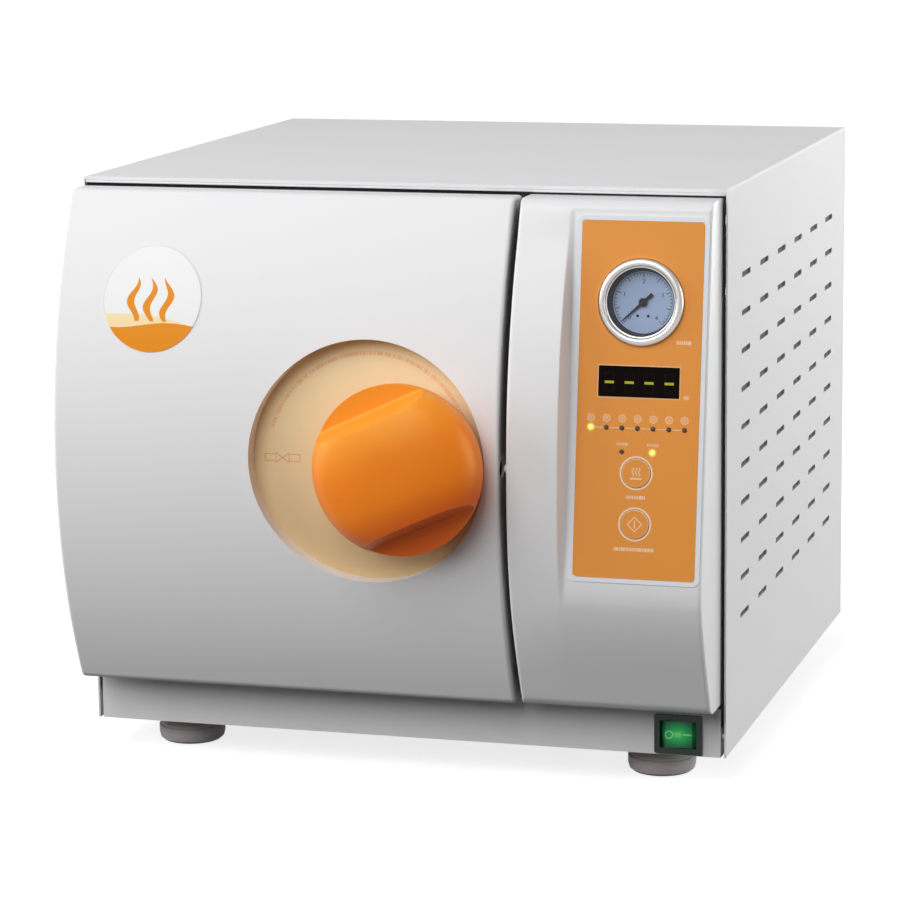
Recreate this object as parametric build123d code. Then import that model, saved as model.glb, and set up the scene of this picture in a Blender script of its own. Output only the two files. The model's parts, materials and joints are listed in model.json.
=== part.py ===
from build123d import *
from math import atan2, cos, pi, sin, sqrt
import os

os.makedirs("parts", exist_ok=True)

# Driving dimensions in millimetres. +Z is up and the door faces -Y. Lengths along Y are
# measured from the plane of the cover's front edge, and save() moves every piece so that
# the origin lies on the floor under the middle of the whole machine.
width = 445.0
foot_height = 23.0
cover_height = 378.0
cover_depth = 438.0
sheet = 1.2
front_y = -172.2

top_z = foot_height + cover_height
side_x = width / 2
tray_side_x = side_x - 3.5
tray_floor_z = foot_height + sheet
rear_face_y = cover_depth - sheet

# The bowed front that the door and the control fascia share.
bow_radius = 365.2
bow_y = 298.5
bow_z = 220.0
front_top_z = 395.0
front_bottom_z = 59.0
door_left_x = -side_x
door_right_x = 86.2
door_back_y = -3.0
door_wall = 1.6
fascia_left_x = 90.9
fascia_right_x = 218.6
fascia_back_y = 3.9
fascia_wall = 2.0

# The flat control panel leans back from the vertical.
panel_x = 174.2
panel_z = 270.0
panel_lean = 0.136
panel_y = -46.3
panel_step_x0 = 124.0
panel_step_x1 = 134.0
panel_blend = 60.0
panel_half_width = 40.2
panel_low = -115.6
panel_high = 114.2
panel_thickness = 0.5
gauge_up = 62.3
gauge_radius = 28.4
display_up = 11.3
display_size = (53.0, 19.6)
led_radius = 1.25
led_row_up = -18.6
led_pitch = 10.27
state_led_up = -33.9
key_ups = (-47.3, -80.2)
key_radius = 9.3

# The pressure chamber, the door plate and the locking knob.
axis_z = 224.0
chamber_x = -68.0
chamber_inside = 115.0
chamber_outside = 117.0
flange_front_y = 2.5
flange_outside = 129.0
knob_x = 23.0
knob_radius = 56.5
knob_front_y = -109.4
knob_waist_y = -82.0
window_x = -4.0
window_radius = 80.6
dial_depth = 12.0
grip_angle = 24.5
grip_half_width = 35.0
grip_foot_width = 41.0
scoop_floor_y = -84.5

# The scroll plate on the knob's spindle moves the latch bar by a steady lead.
scroll_lead = 9.0
scroll_start = 13.0
scroll_front_y = -43.0
scroll_back_y = -38.0
follower_radius = 3.5
spindle_radius = 6.0
bar_half_height = 12.0
bar_front_y = -37.5
bar_back_y = -33.5
beam_front_y = -33.0
beam_back_y = -17.0

# The hinge stands inside the door's left edge.
hinge_x = -211.0
hinge_y = -14.0
hinge_pin_radius = 4.0
hinge_bracket_zs = (100.0, 342.0)
hinge_bracket_height = 6.0
frame_front_y = 4.0
lock_pin_y = -57.6
lock_pin_z = 223.4
lock_pin_radius = 3.0
lock_hole_radius = 6.0
switch_x = 190.5
switch_z = 37.4


def save(shape, name):
    """Write one piece, moved into the machine's own frame."""
    export_step(Pos(0, front_y, 0) * shape, f"parts/{name}.step")


def block(x0, x1, y0, y1, z0, z1):
    """A box between two corners."""
    size = (x1 - x0, y1 - y0, z1 - z0)
    return Pos((x0 + x1) / 2, (y0 + y1) / 2, (z0 + z1) / 2) * Box(*size)


def round_y(x, z, radius, y0, y1):
    """A round bar along Y."""
    return Pos(x, (y0 + y1) / 2, z) * Rot(90, 0, 0) * Cylinder(radius, y1 - y0)


def round_x(y, z, radius, x0, x1):
    """A round bar along X."""
    return Pos((x0 + x1) / 2, y, z) * Rot(0, 90, 0) * Cylinder(radius, x1 - x0)


def round_z(x, y, radius, z0, z1):
    """A round bar along Z."""
    return Pos(x, y, (z0 + z1) / 2) * Cylinder(radius, z1 - z0)


def facing(y):
    """A plane across the machine that faces the user, with X to the right and Z up."""
    return Plane(origin=(0, y, 0), x_dir=(1, 0, 0), z_dir=(0, -1, 0))


def panel(height):
    """A plane on the leaning panel, raised by height towards the user."""
    lean = sqrt(1 + panel_lean**2)
    outward = (0, -1 / lean, panel_lean / lean)
    base = Plane(origin=(panel_x, panel_y, panel_z), x_dir=(1, 0, 0), z_dir=outward)
    return base.offset(height)


def panel_post(x, up, radius, low, high):
    """A round post square to the panel, from one height above it to another."""
    return extrude(panel(low) * Pos(x, up) * Circle(radius), amount=high - low)


def bow_front(z, radius=bow_radius):
    """How far forward the bowed front reaches at a height."""
    return bow_y - sqrt(radius**2 - (z - bow_z) ** 2)


def turned(points, x, z):
    """A solid turned about an axis along Y, from (radius, y) points on its outline."""
    outline = make_face(Polyline(*[(x + r, y, z) for r, y in points], close=True))
    return revolve(outline, Axis((x, 0, z), (0, 1, 0)))


# The shapes of the bowed front


def bowed_face(x, inset, back_y, flat):
    """The front's outline at one x, bowed all the way or with the leaning panel cut flat.
    Both have the same edges, so that one can run into the other."""
    radius = bow_radius - inset
    top = front_top_z - inset
    bottom = front_bottom_z + inset
    lean = sqrt(1 + panel_lean**2)
    up = (panel_lean / lean, 1 / lean)
    inward = (1 / lean, -panel_lean / lean)
    on_panel = (panel_y + inset * inward[0], panel_z + inset * inward[1])
    blend = panel_blend - inset
    centre = (on_panel[0] + blend * inward[0], on_panel[1] + blend * inward[1])
    reach = (centre[0] - bow_y, centre[1] - bow_z)
    along = reach[0] * up[0] + reach[1] * up[1]
    spare = reach[0] ** 2 + reach[1] ** 2 - (radius - blend) ** 2
    slide = -along - sqrt(along**2 - spare)
    centre = (centre[0] + slide * up[0], centre[1] + slide * up[1])
    upper = (on_panel[0] + slide * up[0], on_panel[1] + slide * up[1])
    turn = atan2(centre[1] - bow_z, centre[0] - bow_y)
    lower = (bow_y + radius * cos(turn), bow_z + radius * sin(turn))

    def spot(point):
        return (x, point[0], point[1])

    if flat:
        top_front = (on_panel[0] + (top - on_panel[1]) * panel_lean, top)
        middle = atan2(
            (upper[1] + lower[1]) / 2 - centre[1], (upper[0] + lower[0]) / 2 - centre[0]
        )
        bend = (centre[0] + blend * cos(middle), centre[1] + blend * sin(middle))
        high = Line(spot(top_front), spot(upper))
        low_bend = ThreePointArc(spot(upper), spot(bend), spot(lower))
        split = lower
    else:
        top_front = (bow_front(top, radius), top)
        upper = (bow_front(upper[1], radius), upper[1])
        mid_high = (bow_front((top + upper[1]) / 2, radius), (top + upper[1]) / 2)
        mid_low = (bow_front((upper[1] + lower[1]) / 2, radius), (upper[1] + lower[1]) / 2)
        high = ThreePointArc(spot(top_front), spot(mid_high), spot(upper))
        low_bend = ThreePointArc(spot(upper), spot(mid_low), spot(lower))
        split = lower
    bottom_front = (bow_front(bottom, radius), bottom)
    mid = (split[1] + bottom) / 2
    low = ThreePointArc(spot(split), spot((bow_front(mid, radius), mid)), spot(bottom_front))
    floor = Line(spot(bottom_front), (x, back_y, bottom))
    back = Line((x, back_y, bottom), (x, back_y, top))
    lid = Line((x, back_y, top), spot(top_front))
    face = make_face(Wire([high, low_bend, low, floor, back, lid])).face()
    corners = [
        vertex
        for vertex in face.vertices()
        if (abs(vertex.Z - top) < 0.01 or abs(vertex.Z - bottom) < 0.01)
        and vertex.Y < back_y - 1
    ]
    return face.fillet_2d(6.0 - inset, corners)


def front_edges(solid, x, back_y):
    """The edges round one end of a bowed piece, without the one at its back."""
    return [
        edge
        for edge in solid.edges()
        if abs(edge.center().X - x) < 0.01 and edge.center().Y < back_y - 0.01
    ]


def bowed_solid(x0, x1, inset, back_y):
    """A plain bowed solid from one x to another."""
    face = bowed_face(x0, inset, back_y, False)
    return extrude(face, amount=x1 - x0, dir=(1, 0, 0))


def paneled_solid(x0, x1, inset, back_y):
    """A bowed solid whose right part is cut back to the leaning panel."""
    shoulder = bowed_solid(x0, panel_step_x0, inset, back_y)
    step = loft(
        [
            bowed_face(panel_step_x0, inset, back_y, False),
            bowed_face(panel_step_x1, inset, back_y, True),
        ],
        ruled=True,
    )
    flat = bowed_face(panel_step_x1, inset, back_y, True)
    return shoulder + step + extrude(flat, amount=x1 - panel_step_x1, dir=(1, 0, 0))


# The case: tray, feet, cover, rear panel and front frame


def base_tray():
    """A folded sheet tray whose front lip shows below the door."""
    length = rear_face_y
    floor = block(-tray_side_x, tray_side_x, 0, length, foot_height, tray_floor_z)
    front_lip = block(-tray_side_x, tray_side_x, 0, sheet, foot_height, 56)
    rear_lip = block(-tray_side_x, tray_side_x, length - sheet, length, foot_height, 43)
    tray = floor + front_lip + rear_lip
    for side in (-1, 1):
        outer = side * tray_side_x
        inner = outer - side * sheet
        tray += block(min(outer, inner), max(outer, inner), 0, length, foot_height, 43)
    for x, y in foot_places():
        tray -= round_z(x, y, 2.2, 0, 60)
    tray -= block(switch_x - 14.2, switch_x + 14.2, -5, 5, switch_z - 10.7, switch_z + 10.7)
    for row in range(5):
        for column in range(6):
            x = -60 + 44 * column
            y = 120 + 52 * row
            tray -= block(x, x + 30, y, y + 4, 0, 40)
    return tray


def foot_places():
    """Where the four feet stand."""
    return [(x, y) for x in (-169.6, 169.6) for y in (43.6, 394.0)]


def foot(x, y):
    """A round rubber foot with a rounded sole, a groove and a recessed screw hole."""
    outline = [
        (2.2, foot_height), (22.6, foot_height), (22.6, 13.6), (21.8, 13.0), (21.8, 11.8),
        (23.2, 11.2), (23.2, 6.0), (22.3, 2.6), (20.0, 0.7), (17.0, 0.0), (9.0, 0.0),
        (9.0, 8.0), (2.2, 8.0),
    ]
    face = make_face(Polyline(*[(x + r, y, z) for r, z in outline], close=True))
    return revolve(face, Axis((x, y, 0), (0, 0, 1)))


def foot_screw(x, y):
    """A pan-head screw up through a foot and the tray, with its nut."""
    nut = round_z(x, y, 3.8, tray_floor_z, tray_floor_z + 3.2)
    return round_z(x, y, 2.0, 6, tray_floor_z + 5) + round_z(x, y, 4.5, 5, 8) + nut


def top_cover():
    """The folded cover: a top and two sides, with a hemmed front edge and side slots."""
    outer = block(-side_x, side_x, 0, cover_depth, foot_height, top_z)
    edges = [
        edge
        for edge in outer.edges().filter_by(Axis.Y)
        if edge.center().Z > top_z - 1
    ]
    outer = fillet(edges, 2.0)
    inner_x = side_x - sheet
    inner = block(-inner_x, inner_x, -1, cover_depth + 1, 0, top_z - sheet)
    hem = block(-inner_x, inner_x, 0, 14, top_z - 2 * sheet, top_z - sheet)
    slots = []
    for column in range(6):
        for row in range(10):
            y = 60.7 + 61.7 * column
            z = foot_height + 316.6 - 25.6 * row
            slots.append(slot_cut(y, z))
    return outer - inner + hem - slots


def slot_cut(y, z):
    """One pair of round-ended vent slots, cut through both sides."""
    length = 28.5
    half = 1.9
    cut = block(-side_x - 2, side_x + 2, y - length / 2 + half, y + length / 2 - half, z - half, z + half)
    for end in (-1, 1):
        cut += round_x(y + end * (length / 2 - half), z, half, -side_x - 2, side_x + 2)
    return cut


def rear_panel():
    """The flat back with a fan grille and openings for the services."""
    inner_x = side_x - sheet - 0.1
    plate = block(-inner_x, inner_x, rear_face_y, cover_depth, tray_floor_z, top_z - sheet - 0.1)
    for ring in range(1, 5):
        outer = round_y(fan_x, fan_z, 8.5 * ring + 2.4, rear_face_y - 1, cover_depth + 1)
        groove = outer - round_y(fan_x, fan_z, 8.5 * ring - 2.4, rear_face_y - 2, cover_depth + 2)
        for turn in (45, 135):
            spoke = Pos(fan_x, cover_depth, fan_z) * Rot(0, turn, 0) * Box(100, 10, 5)
            groove -= spoke
        plate -= groove
    plate -= block(inlet_x - 14, inlet_x + 14, 400, 450, inlet_z - 10.5, inlet_z + 10.5)
    for x in fuse_xs:
        plate -= round_y(x, inlet_z, 6.3, 400, 450)
    for x in drain_xs:
        plate -= round_y(x, drain_z, 6.3, 400, 450)
    plate -= round_y(valve_x, valve_z, 9.3, 400, 450)
    for x, z in rear_screw_places():
        plate -= round_y(x, z, 2.1, 400, 450)
    for row in range(8):
        for column in range(3):
            x = -190 + 46 * column
            z = 130 + 16 * row
            plate -= block(x, x + 34, 400, 450, z, z + 4)
    return plate


def front_frame():
    """The upright plate behind the door and the fascia, with a foot folded back."""
    back_y = frame_front_y + sheet
    plate = block(-220, 220, frame_front_y, back_y, 45, top_z - 3)
    plate += block(-216, 216, frame_front_y, back_y, tray_floor_z, 46)
    toe = block(-150, 150, frame_front_y, 20, tray_floor_z, tray_floor_z + sheet)
    hole = round_y(chamber_x, axis_z, flange_outside + 0.5, -10, 20)
    bay = block(100, 214, -10, 10, 90, 380)
    switch = block(switch_x - 15, switch_x + 15, -10, 30, 24, 52)
    return plate + toe - hole - bay - switch


def case_screws():
    """Screws in the rear panel and the feet, and the spacers between tray and cover."""
    screws = [foot_screw(x, y) for x, y in foot_places()]
    for x, z in rear_screw_places():
        screws.append(round_y(x, z, 2.0, rear_face_y - 6, cover_depth) + rear_head(x, z))
    for side in (-1, 1):
        for y in (8, 220, 428):
            low = min(side * tray_side_x, side * (side_x - sheet))
            high = max(side * tray_side_x, side * (side_x - sheet))
            screws.append(round_x(y, 36, 2.6, low, high))
    return screws


def rear_screw_places():
    """Where the rear panel is screwed to the cover's flanges."""
    return [(x, z) for x in (-208, 0, 208) for z in (62, 388)] + [(-208, 224), (208, 224)]


def rear_head(x, z):
    """The domed head of a rear screw."""
    head = round_y(x, z, 3.8, cover_depth, cover_depth + 2.2)
    return fillet(head.edges().filter_by(GeomType.CIRCLE).sort_by(Axis.Y)[-1], 1.0)


# The door: cover, dial, beam, plate, seal and hinge leaf


def behind_bow(depth):
    """All that lies more than a depth behind the bow of the door."""
    return round_x(bow_y, bow_z, bow_radius - depth, door_left_x, door_right_x)


def door_cover():
    """The bowed door skin, with the round window and its return, and notches at the hinge."""
    outer = bowed_solid(door_left_x, door_right_x, 0, door_back_y)
    left = front_edges(outer, door_left_x, door_back_y)
    right = front_edges(outer, door_right_x, door_back_y)
    outer = fillet(left + right, 2.5)
    inner = bowed_solid(door_left_x + door_wall, door_right_x - door_wall, door_wall, 5)
    return_wall = round_y(window_x, axis_z, window_radius + door_wall, -100, 0) & outer
    return_wall -= behind_bow(dial_depth)
    cover = outer - inner + return_wall
    cover -= round_y(window_x, axis_z, window_radius, -100, 0)
    cover -= round_x(lock_pin_y, lock_pin_z, lock_hole_radius, 70, 90)
    for z in hinge_bracket_zs:
        cover -= block(-230, hinge_x + 2, -28, 5, z - 3, z + hinge_bracket_height + 3)
    return cover


def dial_disc():
    """The pale disc behind the knob, bowed as the door is."""
    disc = round_y(window_x, axis_z, window_radius + door_wall, -100, 0)
    disc &= behind_bow(dial_depth) - behind_bow(dial_depth + 2)
    return disc - round_y(knob_x, axis_z, 16, -60, -30)


def badge():
    """A thin round plate that follows the bow of the door."""
    z = 326.2
    x = -155.0
    disc = round_y(x, z, 34.5, -80, -20)
    skin = bowed_solid(x - 40, x + 40, -0.4, door_back_y)
    return disc & (skin - bowed_solid(x - 50, x + 50, 0, 10))


def door_beam():
    """The strong crossbar that takes the load of the door plate."""
    beam = block(-200, 55, beam_front_y, beam_back_y, axis_z - 26, axis_z + 26)
    beam = chamfer(beam.edges().filter_by(Axis.Y), 4)
    beam -= round_y(knob_x, axis_z, 9, -40, 0)
    beam -= round_y(chamber_x, axis_z, 10, -40, 0)
    for x in (-180, -120, -30):
        beam -= block(x, x + 36, -40, -21, axis_z - 17, axis_z + 17)
    return beam


def spindle_bushing():
    """The bronze bush in the beam that the knob's spindle turns in."""
    bush = round_y(knob_x, axis_z, 9, beam_front_y, beam_back_y)
    return bush - round_y(knob_x, axis_z, spindle_radius + 0.05, -60, 0)


def door_plate():
    """The round pressure plate with a dished middle and a groove for its seal."""
    outline = [
        (0, -11), (128, -11), (128, 0), (125.6, 0), (125.6, -3.5), (116.4, -3.5),
        (116.4, 0), (104, 0), (92, -5), (0, -5),
    ]
    return turned(outline, chamber_x, axis_z)


def door_gasket():
    """The silicone ring that closes on the chamber's flange."""
    outline = [
        (116.6, -3.5), (125.4, -3.5), (125.4, 0.6), (123.6, 2.2), (118.4, 2.2), (116.6, 0.6),
    ]
    return turned(outline, chamber_x, axis_z)


def door_stud():
    """The stud that hangs the plate on the beam, with its nut in front."""
    stud = round_y(chamber_x, axis_z, 10, beam_front_y, -11)
    hexagon = extrude(facing(beam_front_y) * Pos(chamber_x, axis_z) * RegularPolygon(15, 6), amount=7)
    return stud + hexagon + round_y(chamber_x, axis_z, 9, beam_front_y - 9, beam_front_y)


def hinge_leaf():
    """The door's hinge leaf with two knuckles on the hinge pin."""
    leaf = block(-206, -150, -17, -13, 107, 341)
    low = hinge_bracket_zs[0] + hinge_bracket_height + 1
    high = hinge_bracket_zs[1] - 1
    for z0, z1 in ((low, low + 30), (high - 30, high)):
        leaf += round_z(hinge_x, hinge_y, 8, z0, z1)
    relief = block(-212, -202, -20, -10, low + 32, high - 32)
    bore = round_z(hinge_x, hinge_y, hinge_pin_radius + 0.05, 50, 400)
    return leaf - relief - bore


def cover_straps():
    """Two upright straps that hold the door skin to the beam."""
    straps = []
    for x in (-140, -20):
        strap = block(x, x + 30, beam_back_y, beam_back_y + 1.5, 60.7, front_top_z - door_wall)
        for z in (60.7, front_top_z - door_wall - 1.5):
            strap += block(x, x + 30, beam_back_y, -6, z, z + 1.5)
        straps.append(strap)
    return straps


def door_back_panel():
    """The flat sheet that closes the door skin round the pressure plate."""
    left = door_left_x + door_wall + 1.5
    right = door_right_x - door_wall - 0.2
    sheet_back = block(left, right, -6, -4.8, 61, front_top_z - door_wall - 0.2)
    sheet_back -= round_y(chamber_x, axis_z, 129.5, -20, 10)
    sheet_back -= block(-230, -196, -20, 10, 92, 354)
    return sheet_back - block(60, 100, -20, 10, axis_z - 24, axis_z + 24)


def latch_guides():
    """One bridge and two rails that guide the latch bar along the beam."""
    clearance = 0.3
    reach = bar_half_height + clearance
    bridge = block(-28, -18, -41, beam_front_y, axis_z - 18, axis_z + 18)
    bridge -= block(-30, -16, bar_front_y - clearance, -30, axis_z - reach, axis_z + reach)
    rails = [
        block(32, 55, -37.6, beam_front_y, axis_z + low, axis_z + low + 5.7)
        for low in (reach, -reach - 5.7)
    ]
    return [bridge] + rails


# The knob with its spindle and scroll plate, and the latch bar


def knob_blank():
    """The turned body of the knob, with a waist behind its rim and a short boss."""
    crown = Spline(
        (0, knob_front_y), (22, knob_front_y + 1.4), (38, knob_front_y + 5.2),
        (48.5, knob_front_y + 10.2), (54.3, knob_front_y + 16.6), (knob_radius, knob_waist_y),
        tangents=[(1, 0), (0, 1)],
    )
    rest = Polyline(
        (knob_radius, knob_waist_y), (55.8, -76), (53.4, -69), (50.8, -62), (49.6, -57.5),
        (14, -57.5), (14, -44.6), (0, -44.6), (0, knob_front_y),
    )
    blank = revolve(make_face(crown + rest), Axis.Y)
    return Pos(knob_x, 0, axis_z) * blank


def knob():
    """The big knob with two finger scoops, whose walls lean out from its grip."""
    body = knob_blank()
    outline = make_face(
        Polyline(
            (0, knob_front_y - 10, grip_half_width - 4), (0, knob_front_y + 8, grip_half_width),
            (0, scoop_floor_y, grip_foot_width), (0, scoop_floor_y, 90),
            (0, knob_front_y - 10, 90), close=True,
        )
    )
    scoop = extrude(outline, amount=75, both=True, dir=(1, 0, 0))
    foot = [
        edge for edge in scoop.edges().filter_by(Axis.X)
        if abs(edge.center().Z - grip_foot_width) < 0.01
    ]
    scoop = fillet(foot, 3)
    for turn in (0, 180):
        body -= Pos(knob_x, 0, axis_z) * Rot(0, turn - grip_angle, 0) * scoop
    return body - round_y(knob_x, axis_z, spindle_radius, -90, 0)


def knob_spindle():
    """The spindle with the scroll plate, whose slot moves the latch bar as it turns."""
    spindle = round_y(knob_x, axis_z, spindle_radius, -90, beam_back_y)
    plate = round_y(knob_x, axis_z, 32.5, scroll_front_y, scroll_back_y)
    half = follower_radius + 0.3
    turns = [pi / 2 * step / 8 for step in range(9)]

    def offset_point(turn, side):
        reach = scroll_start + scroll_lead * turn
        tangent = atan2(reach, scroll_lead) + turn
        x = reach * cos(turn) + side * half * sin(tangent)
        z = reach * sin(turn) - side * half * cos(tangent)
        return (x, z)

    outer = Spline(*[offset_point(turn, 1) for turn in turns])
    inner = Spline(*[offset_point(turn, -1) for turn in reversed(turns)])

    def end_arc(turn, start, end, way):
        reach = scroll_start + scroll_lead * turn
        tangent = atan2(reach, scroll_lead) + turn
        tip = (
            reach * cos(turn) + way * half * cos(tangent),
            reach * sin(turn) + way * half * sin(tangent),
        )
        return ThreePointArc(start, tip, end)

    last = end_arc(turns[-1], offset_point(turns[-1], 1), offset_point(turns[-1], -1), 1)
    first = end_arc(0, offset_point(0, -1), offset_point(0, 1), -1)
    slot = make_face(outer + last + inner + first)
    cut = extrude(facing(scroll_back_y + 1) * Pos(knob_x, axis_z) * slot, amount=7)
    return spindle + plate - cut


def latch_bar():
    """The sliding bar with its follower pin and a long hole round the spindle."""
    bar = block(-45, 58, bar_front_y, bar_back_y, axis_z - bar_half_height, axis_z + bar_half_height)
    bar = fillet(bar.edges().filter_by(Axis.Y).sort_by(Axis.X)[-2:], 3)
    travel = scroll_lead * pi / 2
    for x in (knob_x - travel, knob_x):
        bar -= round_y(x, axis_z, spindle_radius + 0.4, -40, -30)
    gap = spindle_radius + 0.4
    bar -= block(knob_x - travel, knob_x, -40, -30, axis_z - gap, axis_z + gap)
    return bar + round_y(knob_x + scroll_start, axis_z, follower_radius, -42.6, bar_front_y)


def lock_keeper():
    """The steel keeper beside the flange, with a pocket for the bar's end."""
    keeper = block(62, 78, -43, frame_front_y, axis_z - 20, axis_z + 20)
    pocket = bar_half_height + 2
    return keeper - block(55, 76, -39.5, -31.5, axis_z - pocket, axis_z + pocket)


# The hinge on the case, and the safety lock


def hinge_brackets():
    """Two brackets on the front frame, rounded about the hinge pin."""
    brackets = []
    for z in hinge_bracket_zs:
        arm = round_z(hinge_x, hinge_y, 8, z, z + hinge_bracket_height)
        arm += block(hinge_x - 8, hinge_x + 8, hinge_y, frame_front_y, z, z + hinge_bracket_height)
        arm += block(hinge_x - 8, hinge_x + 8, 2.3, frame_front_y, z - 10, z + 16)
        brackets.append(arm - round_z(hinge_x, hinge_y, hinge_pin_radius, 50, 400))
    return brackets


def hinge_rod():
    """The hinge pin with a clip at each end."""
    low = hinge_bracket_zs[0]
    high = hinge_bracket_zs[1] + hinge_bracket_height
    rod = round_z(hinge_x, hinge_y, hinge_pin_radius, low - 4, high + 4)
    for z in (low - 2, high + 0.5):
        rod += round_z(hinge_x, hinge_y, 6, z, z + 1.5)
    return rod


def lock_pin():
    """The sprung steel pin that keeps the door shut under pressure."""
    pin = round_x(lock_pin_y, lock_pin_z, lock_pin_radius, 88.9, 122)
    return fillet(pin.edges().filter_by(GeomType.CIRCLE).sort_by(Axis.X)[0], 1.2)


def lock_solenoid():
    """The coil housing that draws the lock pin, on a bracket behind the fascia."""
    body = block(98, 123, -63.5, -46, lock_pin_z - 11, lock_pin_z + 11)
    body += block(98, 123, -46, frame_front_y, lock_pin_z - 11, lock_pin_z - 9)
    body += block(98, 123, frame_front_y - 2, frame_front_y, lock_pin_z - 24, lock_pin_z - 9)
    return body - round_x(lock_pin_y, lock_pin_z, lock_pin_radius + 0.05, 80, 130)


# The control fascia and what is on it


def control_fascia():
    """The moulded fascia: a bowed shoulder that dips to the flat leaning panel."""
    outer = paneled_solid(fascia_left_x, fascia_right_x, 0, fascia_back_y)
    edges = front_edges(outer, fascia_left_x, fascia_back_y)
    edges += front_edges(outer, fascia_right_x, fascia_back_y)
    outer = fillet(edges, 2.5)
    inner = paneled_solid(fascia_left_x + fascia_wall, fascia_right_x - fascia_wall, fascia_wall, 10)
    shell = outer - inner - round_x(lock_pin_y, lock_pin_z, lock_pin_radius + 0.6, 80, 97)
    for x, up in board_posts():
        shell += panel_post(x, up, 3.0, -8, -1)
    return shell - panel_cutouts(-12, 3)


def board_posts():
    """Where the posts for the control board stand."""
    return [(x, up) for x in (-34, 34) for up in (-104, 26)]


def panel_cutouts(low, high):
    """The holes that the fascia and its overlay share."""
    cuts = [panel_post(0, gauge_up, 26.3, low, high)]
    window = Pos(0, display_up) * Rectangle(display_size[0] + 0.2, display_size[1] + 0.2)
    cuts.append(extrude(panel(low) * window, amount=high - low))
    for x, up in led_places():
        cuts.append(panel_post(x, up, led_radius + 0.15, low, high))
    for up in key_ups:
        cuts.append(panel_post(0, up, key_radius + 0.4, low, high))
    return cuts


def led_places():
    """A row of seven lamps and a pair below it."""
    row = [((place - 3) * led_pitch, led_row_up) for place in range(7)]
    return row + [(-9.9, state_led_up), (10.2, state_led_up)]


def membrane_overlay():
    """The printed overlay on the panel."""
    tall = panel_high - panel_low
    shape = Pos(0, (panel_high + panel_low) / 2) * RectangleRounded(2 * panel_half_width, tall, 3)
    return extrude(panel(0) * shape, amount=panel_thickness) - panel_cutouts(-1, 2)


def gauge_case():
    """The drawn cup behind the panel that holds the gauge's movement."""
    cup = panel_post(0, gauge_up, 26, -24, panel_thickness)
    cup -= panel_post(0, gauge_up, 24.8, -22.5, 2)
    return cup + panel_post(0, gauge_up, 7, -38, -24)


def gauge_bezel():
    """The plated ring round the gauge."""
    ring = panel_post(0, gauge_up, gauge_radius, panel_thickness, 4.0)
    ring = fillet(ring.edges().filter_by(GeomType.CIRCLE).sort_by(Axis.Y)[0], 1.4)
    lip = panel_post(0, gauge_up, 23.4, 0, 2.0)
    return ring - lip - panel_post(0, gauge_up, 22.2, 0, 6)


def gauge_dial():
    """The dial plate, on a post from the back of its case."""
    plate = panel_post(0, gauge_up, 24.6, -6.2, -5.4)
    return plate + panel_post(0, gauge_up, 8, -22.5, -6.2) - panel_post(0, gauge_up, 1.2, -12, 0)


def gauge_needle():
    """The pointer with its counterweight, at rest on zero."""
    turn = 222
    hub = panel_post(0, gauge_up, 2.6, -4.8, -3.6) + panel_post(0, gauge_up, 1.15, -11, -4.8)
    outline = Polyline((-8, -1.1), (-8, 1.1), (3, 0.8), (18, 0.25), (18, -0.25), (3, -0.8), close=True)
    blade = panel(-4.6) * Pos(0, gauge_up) * Rot(0, 0, turn) * make_face(outline)
    return hub + extrude(blade, amount=0.5)


def gauge_glass():
    """The flat glass in the bezel."""
    return panel_post(0, gauge_up, 23.3, 0.6, 1.9)


def display_window():
    """The dark lens over the number display, with the display block behind it."""
    lens = extrude(panel(-2) * Pos(0, display_up) * Rectangle(*display_size), amount=2.9)
    back = extrude(panel(-8) * Pos(0, display_up) * Rectangle(50.4, 19), amount=6)
    return lens + back


def indicator_lamps():
    """Nine small lamps that stand on the control board."""
    lamps = []
    for x, up in led_places():
        lamp = panel_post(x, up, led_radius, -8, 0.9)
        lamps.append(lamp)
    return lamps


def control_board():
    """The circuit board on its posts, with the switches behind the keys."""
    board = extrude(panel(-9.6) * Pos(0, -39) * Rectangle(78, 142), amount=1.6)
    for up in key_ups:
        board += extrude(panel(-8) * Pos(0, up) * Rectangle(6, 6), amount=1.4)
    board += extrude(panel(-13) * Pos(0, -60) * Rectangle(44, 50), amount=3.4)
    return board


def key(up):
    """A round key cap with a stem to its switch."""
    cap = panel_post(0, up, key_radius, -0.4, 1.0)
    cap = fillet(cap.edges().filter_by(GeomType.CIRCLE).sort_by(Axis.Y)[0], 0.4)
    return cap + panel_post(0, up, 2, -5.9, -0.4)


# The power switch in the tray's front lip


def power_switch_housing():
    """The switch body with its bezel and a well for the rocker."""
    bezel = block(switch_x - 16.2, switch_x + 16.2, -1.8, 0, switch_z - 13.3, switch_z + 13.3)
    bezel = fillet(bezel.edges().filter_by(Axis.Y), 1.5)
    body = block(switch_x - 14, switch_x + 14, 0, 24, switch_z - 10.5, switch_z + 10.5)
    well = block(switch_x - 12.4, switch_x + 12.4, -3, 14, switch_z - 9.3, switch_z + 9.3)
    housing = bezel + body - well
    for x in (-8, 0, 8):
        housing += block(switch_x + x - 3, switch_x + x + 3, 24, 32, switch_z - 0.4, switch_z + 0.4)
    return housing


def power_switch_rocker():
    """The lit rocker, shown with its right half pressed in."""
    tilt = -7.0
    pivot_y = 6.0
    rocker = round_z(0, 0, 12.1, -9.1, 9.1) & block(-13, 13, -8.6, 4, -9.1, 9.1)
    rocker -= Pos(0, -34.2, 0) * Cylinder(27, 30)
    rocker = Pos(switch_x, pivot_y, switch_z) * Rot(0, 0, -tilt) * rocker
    return rocker


# The pressure chamber and its load


def chamber_flange():
    """The machined front flange of the chamber."""
    ring = round_y(chamber_x, axis_z, flange_outside, flange_front_y, 12.5)
    return ring - round_y(chamber_x, axis_z, chamber_inside, -20, 20)


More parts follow.
